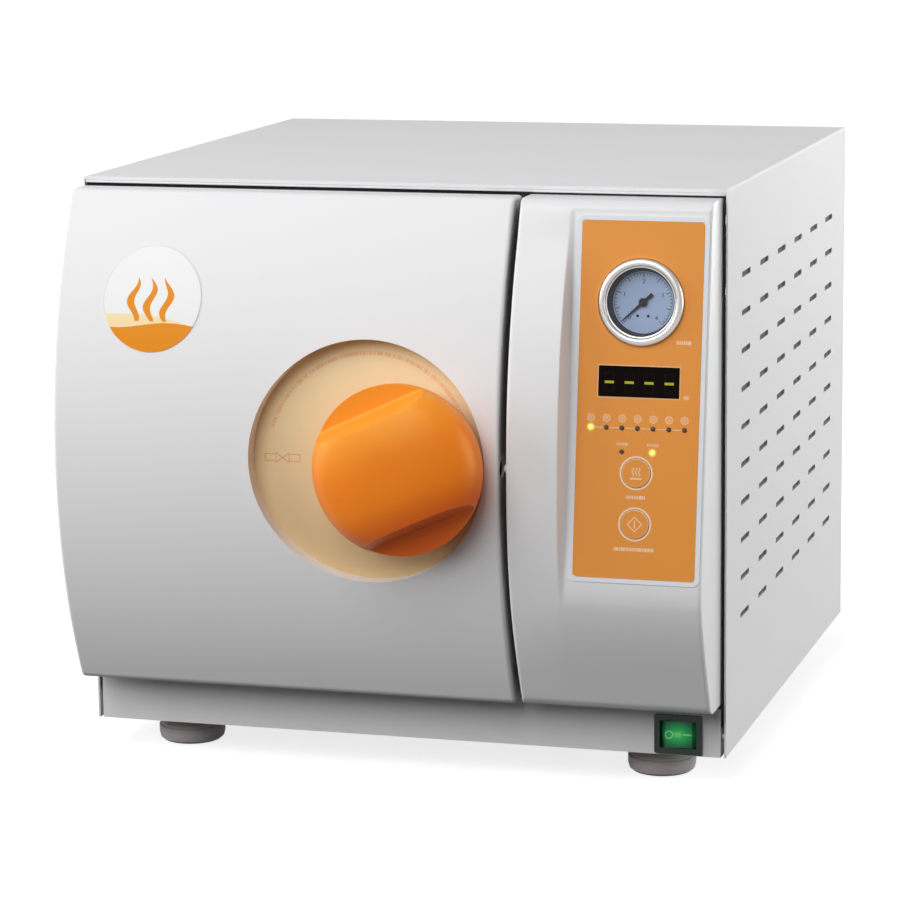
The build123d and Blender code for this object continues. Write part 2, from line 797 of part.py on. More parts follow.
def chamber_shell():
    """The deep-drawn chamber with a dished end."""
    outline = [
        (115, 12.5), (117, 12.5), (117, 376), (108, 386), (88, 394), (50, 399), (0, 400.5),
        (0, 398.5), (50, 397), (87.4, 392), (106.6, 384.4), (115, 375.2),
    ]
    return turned(outline, chamber_x, axis_z)


def heater_band():
    """The heating band clamped round the chamber."""
    band = round_y(chamber_x, axis_z, 119.2, 150, 260)
    return band - round_y(chamber_x, axis_z, chamber_outside, 100, 300)


def insulation_jacket():
    """The insulation round the chamber and over its end."""
    outline = [
        (119.6, 14), (137, 14), (137, 412), (0, 412), (0, 402), (92, 402), (119.6, 390),
    ]
    return turned(outline, chamber_x, axis_z)


def chamber_saddles():
    """Two saddles that carry the chamber on the tray."""
    saddles = []
    for y in (70, 330):
        saddle = block(chamber_x - 80, chamber_x + 80, y, y + 24, tray_floor_z, 130)
        saddle -= round_y(chamber_x, axis_z, 137.3, 0, 430)
        saddles.append(saddle)
    return saddles


tray_levels = (164.0, 209.0, 254.0)
tray_half_width = 86.0


def tray_rack():
    """The bent sheet rack with a pair of runners for each tray."""
    rack = []
    for side in (-1, 1):
        x0 = chamber_x + side * 89.4
        x1 = chamber_x + side * 90.6
        rail = block(min(x0, x1), max(x0, x1), 20, 340, 160, 288)
        for z in tray_levels:
            inner = chamber_x + side * 80
            rail += block(min(inner, x1), max(inner, x1), 20, 340, z - 1.4, z - 0.2)
        rack.append(rail)
    cross = block(chamber_x - 90.6, chamber_x + 90.6, 340, 341.2, 160, 172)
    return rack[0] + rack[1] + cross


def tray(z):
    """An instrument tray with a low rim."""
    x0 = chamber_x - tray_half_width
    x1 = chamber_x + tray_half_width
    shape = block(x0, x1, 22, 336, z, z + 14)
    return shape - block(x0 + 1, x1 - 1, 23, 335, z + 1, z + 20)


# The services in the right bay and on the back

fan_x = 150.0
fan_z = 300.0
inlet_x = 170.0
inlet_z = 76.0
fuse_xs = (112.0, 134.0)
drain_xs = (-160.0, -120.0)
drain_z = 70.0
valve_x = 30.0
valve_z = 330.0


def water_tank():
    """The water tank, a thin closed box with a neck on top."""
    tank = fillet(block(84, 212, 130, 300, tray_floor_z, 205).edges(), 6)
    hollow = fillet(block(87, 209, 133, 297, tray_floor_z + 3, 202).edges(), 3)
    neck = round_z(150, 215, 18, 204, 222)
    return tank - hollow + neck


def water_pump():
    """The feed pump: motor, head and foot."""
    motor = round_y(115, 60, 20, 60, 108)
    head = block(98, 132, 40, 60, 43, 77)
    foot_plate = block(95, 135, 45, 105, tray_floor_z, tray_floor_z + 3)
    post = block(108, 122, 50, 100, tray_floor_z, 44)
    return motor + head + foot_plate + post


def solenoid_valves():
    """Three steam and water valves on a row."""
    valves = []
    for place in range(3):
        y = 54 + 26 * place
        body = block(160, 186, y, y + 20, tray_floor_z, tray_floor_z + 20)
        coil = block(162, 184, y + 1, y + 19, tray_floor_z + 20, tray_floor_z + 46)
        valves.append(body + coil + round_x(y + 10, tray_floor_z + 10, 4, 150, 196))
    return valves


def transformer():
    """The power transformer on the tray."""
    core = block(120, 200, 306, 330, tray_floor_z, 100) + block(120, 200, 358, 382, tray_floor_z, 100)
    core += block(134, 186, 330, 358, tray_floor_z, 100)
    return core


def fan_housing():
    """The fan's square frame on the rear panel, with struts to its hub."""
    frame = block(fan_x - 40, fan_x + 40, rear_face_y - 25, rear_face_y, fan_z - 40, fan_z + 40)
    frame = fillet(frame.edges().filter_by(Axis.Y), 4)
    frame -= round_y(fan_x, fan_z, 38, 400, 450)
    for turn in (45, 135):
        strut = Pos(fan_x, rear_face_y - 23.5, fan_z) * Rot(0, turn, 0) * Box(80, 3, 5)
        frame += strut
    return frame + round_y(fan_x, fan_z, 13, rear_face_y - 25, rear_face_y - 20)


def fan_rotor():
    """The fan's hub and seven pitched blades."""
    hub = round_y(fan_x, fan_z, 14, rear_face_y - 19, rear_face_y - 3)
    rotor = hub
    for place in range(7):
        blade = Pos(24, 0, 0) * Rot(38, 0, 0) * Box(25, 18, 1.4)
        rotor += Pos(fan_x, rear_face_y - 11, fan_z) * Rot(0, 360 * place / 7, 0) * blade
    return rotor


def power_inlet():
    """The mains inlet with its three pins in a hooded well."""
    flange = block(inlet_x - 24, inlet_x + 24, cover_depth, cover_depth + 2.5, inlet_z - 13, inlet_z + 13)
    flange = fillet(flange.edges().filter_by(Axis.Y), 4)
    body = block(inlet_x - 13.8, inlet_x + 13.8, 414, cover_depth, inlet_z - 10.3, inlet_z + 10.3)
    well = block(inlet_x - 12, inlet_x + 12, 421, 450, inlet_z - 8, inlet_z + 8)
    inlet = flange + body - well
    for x, z in ((-7, -2), (7, -2), (0, 2.5)):
        inlet += block(inlet_x + x - 1, inlet_x + x + 1, 420, 436, inlet_z + z - 2, inlet_z + z + 2)
    return inlet


def fuse_holders():
    """Two round fuse holders with slotted caps."""
    holders = []
    for x in fuse_xs:
        holder = round_y(x, inlet_z, 6.1, 408, cover_depth)
        holder += round_y(x, inlet_z, 8, cover_depth, cover_depth + 8)
        holder -= block(x - 5, x + 5, cover_depth + 6.6, cover_depth + 9, inlet_z - 0.8, inlet_z + 0.8)
        holders.append(holder)
    return holders


def drain_ports():
    """Two threaded drain ports with hexagon collars and hose nipples."""
    ports = []
    for x in drain_xs:
        port = round_y(x, drain_z, 6.1, 420, cover_depth)
        collar = facing(cover_depth + 5) * Pos(x, drain_z) * RegularPolygon(10, 6)
        port += extrude(collar, amount=5)
        for place in range(3):
            y = cover_depth + 5 + 3.6 * place
            port += turned([(0, y), (5.2, y), (4.2, y + 3.6), (0, y + 3.6)], x, drain_z)
        ports.append(port - round_y(x, drain_z, 2.8, 424, 460))
    return ports


def safety_valve_body():
    """The brass body of the safety valve through the rear panel."""
    body = round_y(valve_x, valve_z, 9, 416, cover_depth)
    collar = facing(cover_depth + 6) * Pos(valve_x, valve_z) * RegularPolygon(12, 6)
    body += extrude(collar, amount=6)
    return body - round_y(valve_x, valve_z, 3.05, 422, 460)


def safety_valve_stem():
    """The valve's pull stem with its ring."""
    stem = round_y(valve_x, valve_z, 3, 426, cover_depth + 9)
    ring = Pos(valve_x, cover_depth + 9.6, valve_z - 6) * Rot(90, 0, 0) * Torus(7, 1.1)
    return stem + ring


# Every piece is written to its own file

save(base_tray(), "base_tray")
save(Compound([foot(x, y) for x, y in foot_places()]), "feet")
save(top_cover(), "top_cover")
save(rear_panel(), "rear_panel")
save(front_frame(), "front_frame")
save(Compound(case_screws()), "case_screws")
save(door_cover(), "door_cover")
save(dial_disc(), "dial_disc")
save(badge(), "badge")
save(door_beam(), "door_beam")
save(spindle_bushing(), "spindle_bushing")
save(door_plate(), "door_plate")
save(door_gasket(), "door_gasket")
save(door_stud(), "door_stud")
save(hinge_leaf(), "hinge_leaf")
save(Compound(cover_straps()), "cover_straps")
save(door_back_panel(), "door_back_panel")
save(Compound(latch_guides()), "latch_guides")
save(knob(), "knob")
save(knob_spindle(), "knob_spindle")
save(latch_bar(), "latch_bar")
save(lock_keeper(), "lock_keeper")
save(Compound(hinge_brackets()), "hinge_brackets")
save(hinge_rod(), "hinge_rod")
save(lock_pin(), "lock_pin")
save(lock_solenoid(), "lock_solenoid")
save(control_fascia(), "control_fascia")
save(membrane_overlay(), "membrane_overlay")
save(gauge_case(), "gauge_case")
save(gauge_bezel(), "gauge_bezel")
save(gauge_dial(), "gauge_dial")
save(gauge_needle(), "gauge_needle")
save(gauge_glass(), "gauge_glass")
save(display_window(), "display_window")
save(Compound(indicator_lamps()), "indicator_lamps")
save(control_board(), "control_board")
save(key(key_ups[0]), "key_upper")
save(key(key_ups[1]), "key_lower")
save(power_switch_housing(), "power_switch_housing")
save(power_switch_rocker(), "power_switch_rocker")
save(chamber_flange(), "chamber_flange")
save(chamber_shell(), "chamber_shell")
save(heater_band(), "heater_band")
save(insulation_jacket(), "insulation_jacket")
save(Compound(chamber_saddles()), "chamber_saddles")
save(tray_rack(), "tray_rack")
for number, level in enumerate(tray_levels, start=1):
    save(tray(level), f"tray_{number}")
save(water_tank(), "water_tank")
save(water_pump(), "water_pump")
save(Compound(solenoid_valves()), "solenoid_valves")
save(transformer(), "transformer")
save(fan_housing(), "fan_housing")
save(fan_rotor(), "fan_rotor")
save(power_inlet(), "power_inlet")
save(Compound(fuse_holders()), "fuse_holders")
save(Compound(drain_ports()), "drain_ports")
save(safety_valve_body(), "safety_valve_body")
save(safety_valve_stem(), "safety_valve_stem")
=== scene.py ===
import json
from math import cos, pi, radians, sin, sqrt

import bmesh
import bpy
from mathutils import Matrix, Vector

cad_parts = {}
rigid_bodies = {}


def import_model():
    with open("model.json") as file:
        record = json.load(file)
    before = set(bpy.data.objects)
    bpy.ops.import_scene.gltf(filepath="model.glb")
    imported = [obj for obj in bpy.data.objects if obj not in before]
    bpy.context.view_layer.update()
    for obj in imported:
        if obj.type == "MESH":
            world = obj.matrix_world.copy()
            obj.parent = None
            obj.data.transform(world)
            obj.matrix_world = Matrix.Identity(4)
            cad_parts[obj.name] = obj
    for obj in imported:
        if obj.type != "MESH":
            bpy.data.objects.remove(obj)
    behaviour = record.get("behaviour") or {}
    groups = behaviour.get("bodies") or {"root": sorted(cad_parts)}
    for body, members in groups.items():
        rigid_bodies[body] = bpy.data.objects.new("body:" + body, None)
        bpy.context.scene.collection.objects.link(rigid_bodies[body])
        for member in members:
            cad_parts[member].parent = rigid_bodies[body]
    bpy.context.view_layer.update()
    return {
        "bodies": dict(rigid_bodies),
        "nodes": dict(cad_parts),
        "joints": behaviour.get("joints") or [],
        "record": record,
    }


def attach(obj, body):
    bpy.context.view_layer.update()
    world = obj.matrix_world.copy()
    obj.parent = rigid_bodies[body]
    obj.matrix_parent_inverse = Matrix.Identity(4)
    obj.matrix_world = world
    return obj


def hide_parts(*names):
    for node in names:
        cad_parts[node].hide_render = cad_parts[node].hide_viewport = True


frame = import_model()
nodes = frame["nodes"]

# The folded cover is one sheet of steel: a top and two sides with punched vent slots, and a
# hemmed front edge. It is powder coated white, satin with a faint orange peel.

cover_white = (233, 233, 234)
crease = radians(32)


def tint(red, green, blue):
    """A colour given from 0 to 255, as linear light."""
    return tuple(
        ((value / 255 + 0.055) / 1.055) ** 2.4 if value > 10 else value / 3294.6
        for value in (red, green, blue)
    )


class Shade:
    """One value in a finish, so that its sums are written as plain arithmetic."""

    def __init__(self, tree, socket):
        self.tree = tree
        self.socket = socket

    def node(self, kind, settings, values, output=0):
        """Add a node: its settings first, then the values or links of its sockets."""
        made = self.tree.nodes.new(kind)
        for name, value in settings.items():
            setattr(made, name, value)
        for name, value in values.items():
            if isinstance(value, Shade):
                self.tree.links.new(value.socket, made.inputs[name])
            else:
                made.inputs[name].default_value = value
        return Shade(self.tree, made.outputs[output])

    def maths(self, operation, *others):
        values = dict(enumerate((self, *others)))
        return self.node("ShaderNodeMath", {"operation": operation}, values)

    def __add__(self, other):
        return self.maths("ADD", other)

    __radd__ = __add__

    def __sub__(self, other):
        return self.maths("SUBTRACT", other)

    def __rsub__(self, other):
        return self.maths("MULTIPLY_ADD", -1.0, other)

    def __mul__(self, other):
        return self.maths("MULTIPLY", other)

    __rmul__ = __mul__

    def __abs__(self):
        return self.maths("ABSOLUTE")

    def __or__(self, other):
        """Where either mask is."""
        return self.maths("MAXIMUM", other)

    def __and__(self, other):
        """Where both masks are."""
        return self.maths("MINIMUM", other)

    def along(self, axis):
        """One coordinate of a place."""
        return self.node("ShaderNodeSeparateXYZ", {}, {0: self}, "XYZ".index(axis))

    def stretched(self, size):
        """The place, scaled along each axis."""
        return self.node("ShaderNodeMapping", {}, {"Vector": self, "Scale": size})

    def noise(self, scale, detail=2.0):
        values = {"Vector": self, "Scale": scale, "Detail": detail}
        return self.node("ShaderNodeTexNoise", {}, values)

    def chance(self):
        """A value between 0 and 1 that is the same over each whole step."""
        settings = {"noise_dimensions": "1D"}
        return self.node("ShaderNodeTexWhiteNoise", settings, {"W": self.maths("FLOOR")})

    def ramp(self, low, high):
        """Run smoothly from 0 to 1 between two values."""
        values = {"Value": self, "From Min": low, "From Max": high}
        return self.node("ShaderNodeMapRange", {"interpolation_type": "SMOOTHSTEP"}, values)

    def mix(self, first, second):
        """Blend two colours by this mask."""
        ends = [end if isinstance(end, Shade) else (*end, 1.0) for end in (first, second)]
        values = {0: self, 6: ends[0], 7: ends[1]}
        return self.node("ShaderNodeMix", {"data_type": "RGBA"}, values, 2)

    def bump(self, strength, distance):
        values = {"Height": self, "Strength": strength, "Distance": distance}
        return self.node("ShaderNodeBump", {}, values)

    def feed(self, shader, socket):
        self.tree.links.new(self.socket, shader.inputs[socket])


def new_finish(name, **constants):
    """A finish with its steady values set, its shader, and the place on the piece."""
    finish = bpy.data.materials.new(name)
    finish.use_nodes = True
    tree = finish.node_tree
    shader = tree.nodes["Principled BSDF"]
    for key, value in constants.items():
        words = key.replace("_", " ").title().replace("Ior", "IOR")
        shader.inputs[words].default_value = value
    place = Shade(tree, tree.nodes.new("ShaderNodeTexCoord").outputs["Object"])
    return finish, shader, place


def finish_nodes(finish, *names):
    """Give CAD nodes a finish."""
    for name in names:
        slots = nodes[name].data.materials
        slots.clear()
        slots.append(finish)


def powder_coat(name, colour, roughness=0.6):
    """A sprayed and baked coat: nearly even, with a faint orange peel and cloudy gloss."""
    finish, shader, place = new_finish(name, specular_ior_level=0.12)
    cloud = place.noise(9, 3)
    peel = place.noise(620, 2)
    base = tint(*colour)
    dull, clear = [part * 0.975 for part in base], [min(1, part * 1.02) for part in base]
    cloud.mix(dull, clear).feed(shader, "Base Color")
    (roughness - 0.05 + cloud * 0.08 + peel * 0.03).feed(shader, "Roughness")
    peel.bump(0.05, 0.0004).feed(shader, "Normal")
    return finish


def add_piece(name, form, finish, body, slot, *stands_for):
    """Make a form a piece of the machine, with its finish, body and what it stands for."""
    bmesh.ops.recalc_face_normals(form, faces=form.faces)
    mesh = bpy.data.meshes.new(name)
    form.to_mesh(mesh)
    form.free()
    mesh.materials.append(finish)
    mesh.shade_smooth()
    mesh.set_sharp_from_angle(angle=crease)
    piece = bpy.data.objects.new(name, mesh)
    bpy.context.scene.collection.objects.link(piece)
    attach(piece, body)
    if stands_for:
        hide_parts(*stands_for)
    return piece


white_coat = powder_coat("white_powder_coat", cover_white)
finish_nodes(white_coat, "top_cover")

# A folded lip is spot welded under the cover's front edge. It stands over the door and the
# fascia and leaves only a thin dark line above them.

case_front = -0.1722
lip_half, lip_depth, lip_low, lip_high = 0.2210, 0.0132, 0.3966, 0.3985


def add_box(form, size, middle, place=Matrix()):
    """Add a box of a size about its middle."""
    spot = place @ Matrix.Translation(middle) @ Matrix.Diagonal((*size, 1))
    bmesh.ops.create_cube(form, size=1, matrix=spot)


def round_off(form, corners, offset, segments, affect="EDGES"):
    """Round some edges or corners off."""
    bmesh.ops.bevel(
        form, geom=corners, offset=offset, offset_type="OFFSET", segments=segments, profile=0.5,
        affect=affect, material=-1,
    )


form = bmesh.new()
lip_size = (2 * lip_half, lip_depth, lip_high - lip_low)
add_box(form, lip_size, (0, case_front + lip_depth / 2, (lip_low + lip_high) / 2))
folded = [edge for edge in form.edges if all(v.co.y < case_front + 0.002 for v in edge.verts)]
round_off(form, folded, 0.0007, 4)
add_piece("cover_lip", form, white_coat, "case", "white_paint")

# A dark woven screen is glued behind the slots on each side and keeps dust out. It is a thin
# sheet with rounded corners, held just inside the cover's wall.

screen_x, screen_y, screen_z = 0.2207, case_front + 0.215, 0.224
screen_size = (0.0008, 0.372, 0.272)
threads = 6000
screen, shader, place = new_finish("woven_screen", specular_ior_level=0.2)
warp = (place.along("Y") * threads).maths("SINE")
weft = (place.along("Z") * threads).maths("SINE")
weave = warp * weft
weave.ramp(-1, 1).mix(tint(52, 51, 52), tint(86, 85, 86)).feed(shader, "Base Color")
(0.7 + weave * 0.1).feed(shader, "Roughness")
weave.bump(0.3, 0.0003).feed(shader, "Normal")
form = bmesh.new()
for side in (-1, 1):
    add_box(form, screen_size, (side * screen_x, screen_y, screen_z))
short = [edge for edge in form.edges if abs(edge.verts[0].co.x - edge.verts[1].co.x) > 0.0005]
round_off(form, short, 0.006, 5)
add_piece("vent_screens", form, screen, "case", "black_plastic")

# The base tray is folded from the same coated sheet. Its front lip shows below the door, in
# the shade of the bow.

finish_nodes(powder_coat("tray_powder_coat", (232, 231, 231)), "base_tray")

# Four turned rubber feet carry the tray, each on a screw. Their skin is matt, a little dusty
# towards the sole, with fine moulding lines round them.

dust_top, sole = 0.013, 0.001
mould_lines = 5200
rubber, shader, place = new_finish("foot_rubber", specular_ior_level=0.3)
dust = place.noise(160, 4) * place.along("Z").ramp(dust_top, sole)
dust.mix(tint(196, 190, 190), tint(206, 200, 198)).feed(shader, "Base Color")
(0.62 + dust * 0.2).feed(shader, "Roughness")
lines = (place.along("Z") * mould_lines).maths("SINE")
(lines * 0.3 + place.noise(900, 3)).bump(0.12, 0.0003).feed(shader, "Normal")
finish_nodes(rubber, "feet")

# The screws in the rear panel and the feet are zinc-plated steel, and so are the spacers
# between the tray and the cover. The plating is thin and greyish, with fine marks.


def plated(name, colour, roughness, streak=(40, 40, 40), depth=0.06):
    """Bare or plated metal with fine marks drawn out along one way."""
    finish, shader, place = new_finish(name, metallic=1.0)
    marks = place.stretched(streak).noise(24, 4)
    cloud = place.noise(34, 3)
    base = tint(*colour)
    cloud.mix([part * 0.88 for part in base], base).feed(shader, "Base Color")
    (roughness - 0.06 + marks * 0.12 + cloud * 0.05).feed(shader, "Roughness")
    marks.bump(depth, 0.0002).feed(shader, "Normal")
    return finish


finish_nodes(plated("zinc_plate", (176, 178, 184), 0.36), "case_screws")

# The back panel has the cover's coat. The front frame is given a dark grey as painted shade,
# so the gaps round the door and the fascia look black.

finish_nodes(white_coat, "rear_panel")
finish_nodes(powder_coat("frame_painted_shade_grey", (66, 63, 64), 0.5), "front_frame")

# The door skin is pressed steel with smooth satin paint. A sheet panel with the cover's coat
# closes it behind.

door_paint, shader, place = new_finish("door_paint", specular_ior_level=0.16)
cloud = place.noise(7, 3)
cloud.mix(tint(234, 234, 235), tint(238, 238, 239)).feed(shader, "Base Color")
(0.42 + cloud * 0.07).feed(shader, "Roughness")
place.noise(420, 2).bump(0.03, 0.0004).feed(shader, "Normal")
finish_nodes(door_paint, "door_cover")
finish_nodes(white_coat, "door_back_panel")

# The round badge is a printed foil on the door: a fine grey rim, an orange band with a wavy
# top and a pale crest, and three wisps of steam above it.

badge_x, badge_z, badge_radius = -0.155, 0.3262, 0.0345
print_edge = 0.00012
wisp_places, wisp_foot = (-0.0125, -0.001, 0.0105), -0.0148
badge_print, shader, place = new_finish("badge_print", specular_ior_level=0.12)
x = place.along("X") - badge_x
z = place.along("Z") - badge_z
rim = (x * x + z * z).maths("SQRT")
wave = ((x + 0.0065) * 85).maths("SINE") * 0.0018 - 0.0172
band = z.ramp(wave + print_edge, wave - print_edge)
crest_top = ((x + 0.024) * 62).maths("SINE") * 0.0022 - 0.0133 - x * 0.12
crest = z.ramp(crest_top + 0.0006, crest_top - 0.0002)
wisps = None
for wisp_place in wisp_places:
    sway = (z * 260 + wisp_place * 90).maths("SINE") * 0.0026
    thick = ((z + 0.003) * (z + 0.003) * -9.5 + 0.0028) | 0.0
    wisp = abs(x - sway - wisp_place).ramp(thick, thick - 0.0003)
    wisps = wisp if wisps is None else wisps | wisp
wisps = wisps & z.ramp(wisp_foot, wisp_foot + 0.0004)
edge = rim.ramp(badge_radius - 0.001, badge_radius - 0.0003)
skin = edge.mix(tint(243, 243, 243), tint(222, 223, 225))
skin = crest.mix(skin, tint(250, 226, 176))
skin = (band | wisps).mix(skin, tint(234, 144, 22))
skin.feed(shader, "Base Color")
(0.3 + place.noise(300, 2) * 0.06).feed(shader, "Roughness")
finish_nodes(badge_print, "badge")

# The dial is a cream plate set into the round window, bowed as the door is. It is printed with
# a ring of fine red strokes and a double arrow beside the knob.

window_x, window_z = -0.004, 0.224
dash_radius, dash_count, run_count = 0.0703, 116, 13
arrow_x, arrow_z = -0.0647, 0.2236
cream, shader, place = new_finish("cream_plate", specular_ior_level=0.3)
x = place.along("X") - window_x
z = place.along("Z") - window_z
reach = (x * x + z * z).maths("SQRT")
turn = z.maths("ARCTAN2", x)
ring = abs(reach - dash_radius).ramp(0.0014, 0.0011)
strokes = turn * dash_count
runs = turn * run_count
inked = strokes.chance().ramp(0.1, 0.3)
run_end = runs.chance() * 0.5
gaps = runs.maths("FRACT").ramp(run_end + 0.86, run_end + 0.8)
dashes = ring & strokes.maths("FRACT").ramp(0.62, 0.5) & inked & gaps
dashes = dashes & abs(turn - 1.66).ramp(1.21, 1.19)
beside = abs(place.along("X") - arrow_x)
height = abs(place.along("Z") - arrow_z)
shaft = abs((abs(beside - 0.0083) - 0.0037) | (height - 0.0023)).ramp(0.0004, 0.0002)
head = abs(height - beside * 0.72).ramp(0.0005, 0.0003) & beside.ramp(0.0048, 0.0045)
grain = place.noise(55, 4)
# The plate is painted lighter towards the top and darker towards the bottom, as painted light.
skin = z.ramp(-0.08, 0.07).mix(tint(226, 198, 151), tint(236, 215, 171))
skin = (grain * 0.25).mix(skin, tint(218, 190, 146))
skin = ((dashes | shaft | head) * 0.78).mix(skin, tint(222, 140, 98))
skin.feed(shader, "Base Color")
(0.5 + grain * 0.08).feed(shader, "Roughness")
place.noise(900, 2).bump(0.05, 0.0002).feed(shader, "Normal")
finish_nodes(cream, "dial_disc")

# The knob is one moulding in orange plastic with a silky skin. Its upper grip is painted a
# lighter, yellower orange as painted light, its lower scoop a darker, redder one as painted
# shade, and a painted highlight runs along the grip's edge.

knob_x, knob_z, grip_angle = 0.023, 0.224, radians(24.5)
orange_plastic, shader, place = new_finish(
    "knob_plastic", specular_ior_level=0.5, specular_tint=(1.0, 0.8, 0.36, 1.0),
    coat_roughness=0.35,
)
cloud = place.noise(26, 3)
over, beside = place.along("Z") - knob_z, place.along("X") - knob_x
across = over * cos(grip_angle) - beside * sin(grip_angle)
# A painted highlight along the grip's edge, uneven with the cloud.
grip_edge_highlight = abs(across - 0.036).ramp(0.004, 0.0005) * (0.3 + cloud * 0.7)
skin = cloud.mix(tint(239, 124, 19), tint(243, 130, 25))
# The upper grip is painted lighter and yellower, as painted light.
skin = (across.ramp(0.004, 0.036) * 0.8).mix(skin, tint(247, 154, 44))
# The lower scoop is painted darker and redder, as painted shade.
skin = (across.ramp(-0.012, -0.038) * 0.8).mix(skin, tint(206, 76, 16))
(grip_edge_highlight * 0.35).mix(skin, tint(250, 170, 52)).feed(shader, "Base Color")
(0.40 + cloud * 0.08 - grip_edge_highlight * 0.06).feed(shader, "Roughness")
(0.04 + cloud * 0.05).feed(shader, "Coat Weight")
place.noise(1300, 2).bump(0.05, 0.0002).feed(shader, "Normal")
finish_nodes(orange_plastic, "knob")

# Behind the knob: turned spindle and scroll plate, the ground latch bar in its guides, hinge
# parts and straps in drawn steel, a bronze bush and the cast crossbar.

steel = plated("drawn_steel", (150, 152, 156), 0.34, (8, 120, 120))
finish_nodes(
    steel, "knob_spindle", "latch_bar", "lock_keeper", "latch_guides", "hinge_leaf",
    "hinge_brackets", "hinge_rod", "cover_straps", "door_stud", "chamber_saddles",
)
finish_nodes(plated("bronze_bush", (176, 120, 70), 0.3), "spindle_bushing")

cast, shader, place = new_finish("cast_alloy", metallic=0.85)
grit = place.noise(420, 5)
place.noise(30, 3).mix(tint(140, 141, 144), tint(170, 171, 173)).feed(shader, "Base Color")
(0.5 + grit * 0.18).feed(shader, "Roughness")
grit.bump(0.4, 0.0006).feed(shader, "Normal")
finish_nodes(cast, "door_beam", "water_pump")

# The pressure vessel, its flange, the door plate and the rack are stainless steel, turned or
# drawn from sheet.

inox_turned = plated("stainless_turned", (204, 205, 207), 0.26, (60, 6, 60), 0.05)
inox_sheet = plated("stainless_sheet", (198, 199, 201), 0.3, (90, 5, 90), 0.06)
finish_nodes(inox_turned, "door_plate", "chamber_flange", "lock_pin", "safety_valve_stem")
finish_nodes(inox_sheet, "chamber_shell", "tray_rack")

# Three instrument trays slide on the rack. Each is one sheet with a punched floor, rounded
# corners and a drawn rim that leans out.

tray_middle = Vector((-0.068, case_front + 0.179, 0))
punched_half, floor_half, rim_half = (0.072, 0.143), (0.084, 0.155), (0.0855, 0.1565)
tray_sheet, tray_rise, corner_round = 0.0009, 0.0136, 0.0096
tray_levels = (("lower_tray", 0.164), ("middle_tray", 0.209), ("upper_tray", 0.254))


def points_of(made):
    """The points among what an operator has made."""
    return [item for item in made if isinstance(item, bmesh.types.BMVert)]


def open_edges(form, half):
    """The open edges that lie outside a rectangle round the tray's middle."""
    outside = []
    for edge in form.edges:
        middle = (edge.verts[0].co + edge.verts[1].co) / 2 - tray_middle
        past = abs(middle.x) > half[0] - 0.0005 or abs(middle.y) > half[1] - 0.0005
        if edge.is_boundary and past:
            outside.append(edge)
    return outside


def grow(form, edges, start, end, rise=0):
    """Extrude a rim outwards and up, and give its new points."""
    points = points_of(bmesh.ops.extrude_edge_only(form, edges=edges)["geom"])
    ratio = Vector((end[0] / start[0], end[1] / start[1], 1))
    bmesh.ops.scale(form, vec=ratio, space=Matrix.Translation(-tray_middle), verts=points)
    bmesh.ops.translate(form, vec=(0, 0, rise), verts=points)
    return points


for number, (name, level) in enumerate(tray_levels, start=1):
    form = bmesh.new()
    spot = Matrix.Translation(tray_middle + Vector((0, 0, level + tray_sheet)))
    spot = spot @ Matrix.Diagonal((*punched_half, 1, 1))
    bmesh.ops.create_grid(form, x_segments=14, y_segments=28, size=1, matrix=spot)
    cells = form.faces[:]
    bmesh.ops.inset_individual(form, faces=cells, thickness=0.0026)
    round_off(form, list({v for face in cells for v in face.verts}), 0.0015, 1, "VERTICES")
    holes = [face for face in form.faces if len(face.verts) == 8]
    bmesh.ops.delete(form, geom=holes, context="FACES_ONLY")
    points = grow(form, open_edges(form, punched_half), punched_half, floor_half)
    far = [
        point for point in points
        if abs(point.co.x - tray_middle.x) > floor_half[0] - 0.0001
        and abs(point.co.y - tray_middle.y) > floor_half[1] - 0.0001
    ]
    round_off(form, far, corner_round, 5, "VERTICES")
    wall_foot = open_edges(form, (punched_half[0] + 0.004, punched_half[1] + 0.004))
    grow(form, wall_foot, floor_half, rim_half, tray_rise)
    round_off(form, [edge for edge in wall_foot if edge.is_valid], 0.0022, 3)
    tray = add_piece(name, form, inox_sheet, "case", "stainless", f"tray_{number}")
    sheet = tray.modifiers.new("sheet", "SOLIDIFY")
    sheet.thickness = tray_sheet
    sheet.offset = -1

# The seal on the door plate is a ring of milky silicone, a little clouded, with a soft and
# uneven sheen.

silicone, shader, place = new_finish("silicone_seal", specular_ior_level=0.45)
place.noise(40, 3).mix(tint(222, 222, 216), tint(236, 235, 230)).feed(shader, "Base Color")
(0.4 + place.noise(200, 3) * 0.12).feed(shader, "Roughness")
place.noise(700, 2).bump(0.06, 0.0002).feed(shader, "Normal")
finish_nodes(silicone, "door_gasket")

# The valves, the two drain ports and the safety valve's body are turned brass. Fine tool marks
# run round them.

brass = plated("turned_brass", (196, 158, 92), 0.28, (60, 6, 60))
finish_nodes(brass, "solenoid_valves", "drain_ports", "safety_valve_body")

# The control fascia is one moulding in white plastic: a shoulder bowed as the door is, with a
# flat leaning panel sunk into it. It has openings for the gauge, the display, the two keys and
# the lock pin.

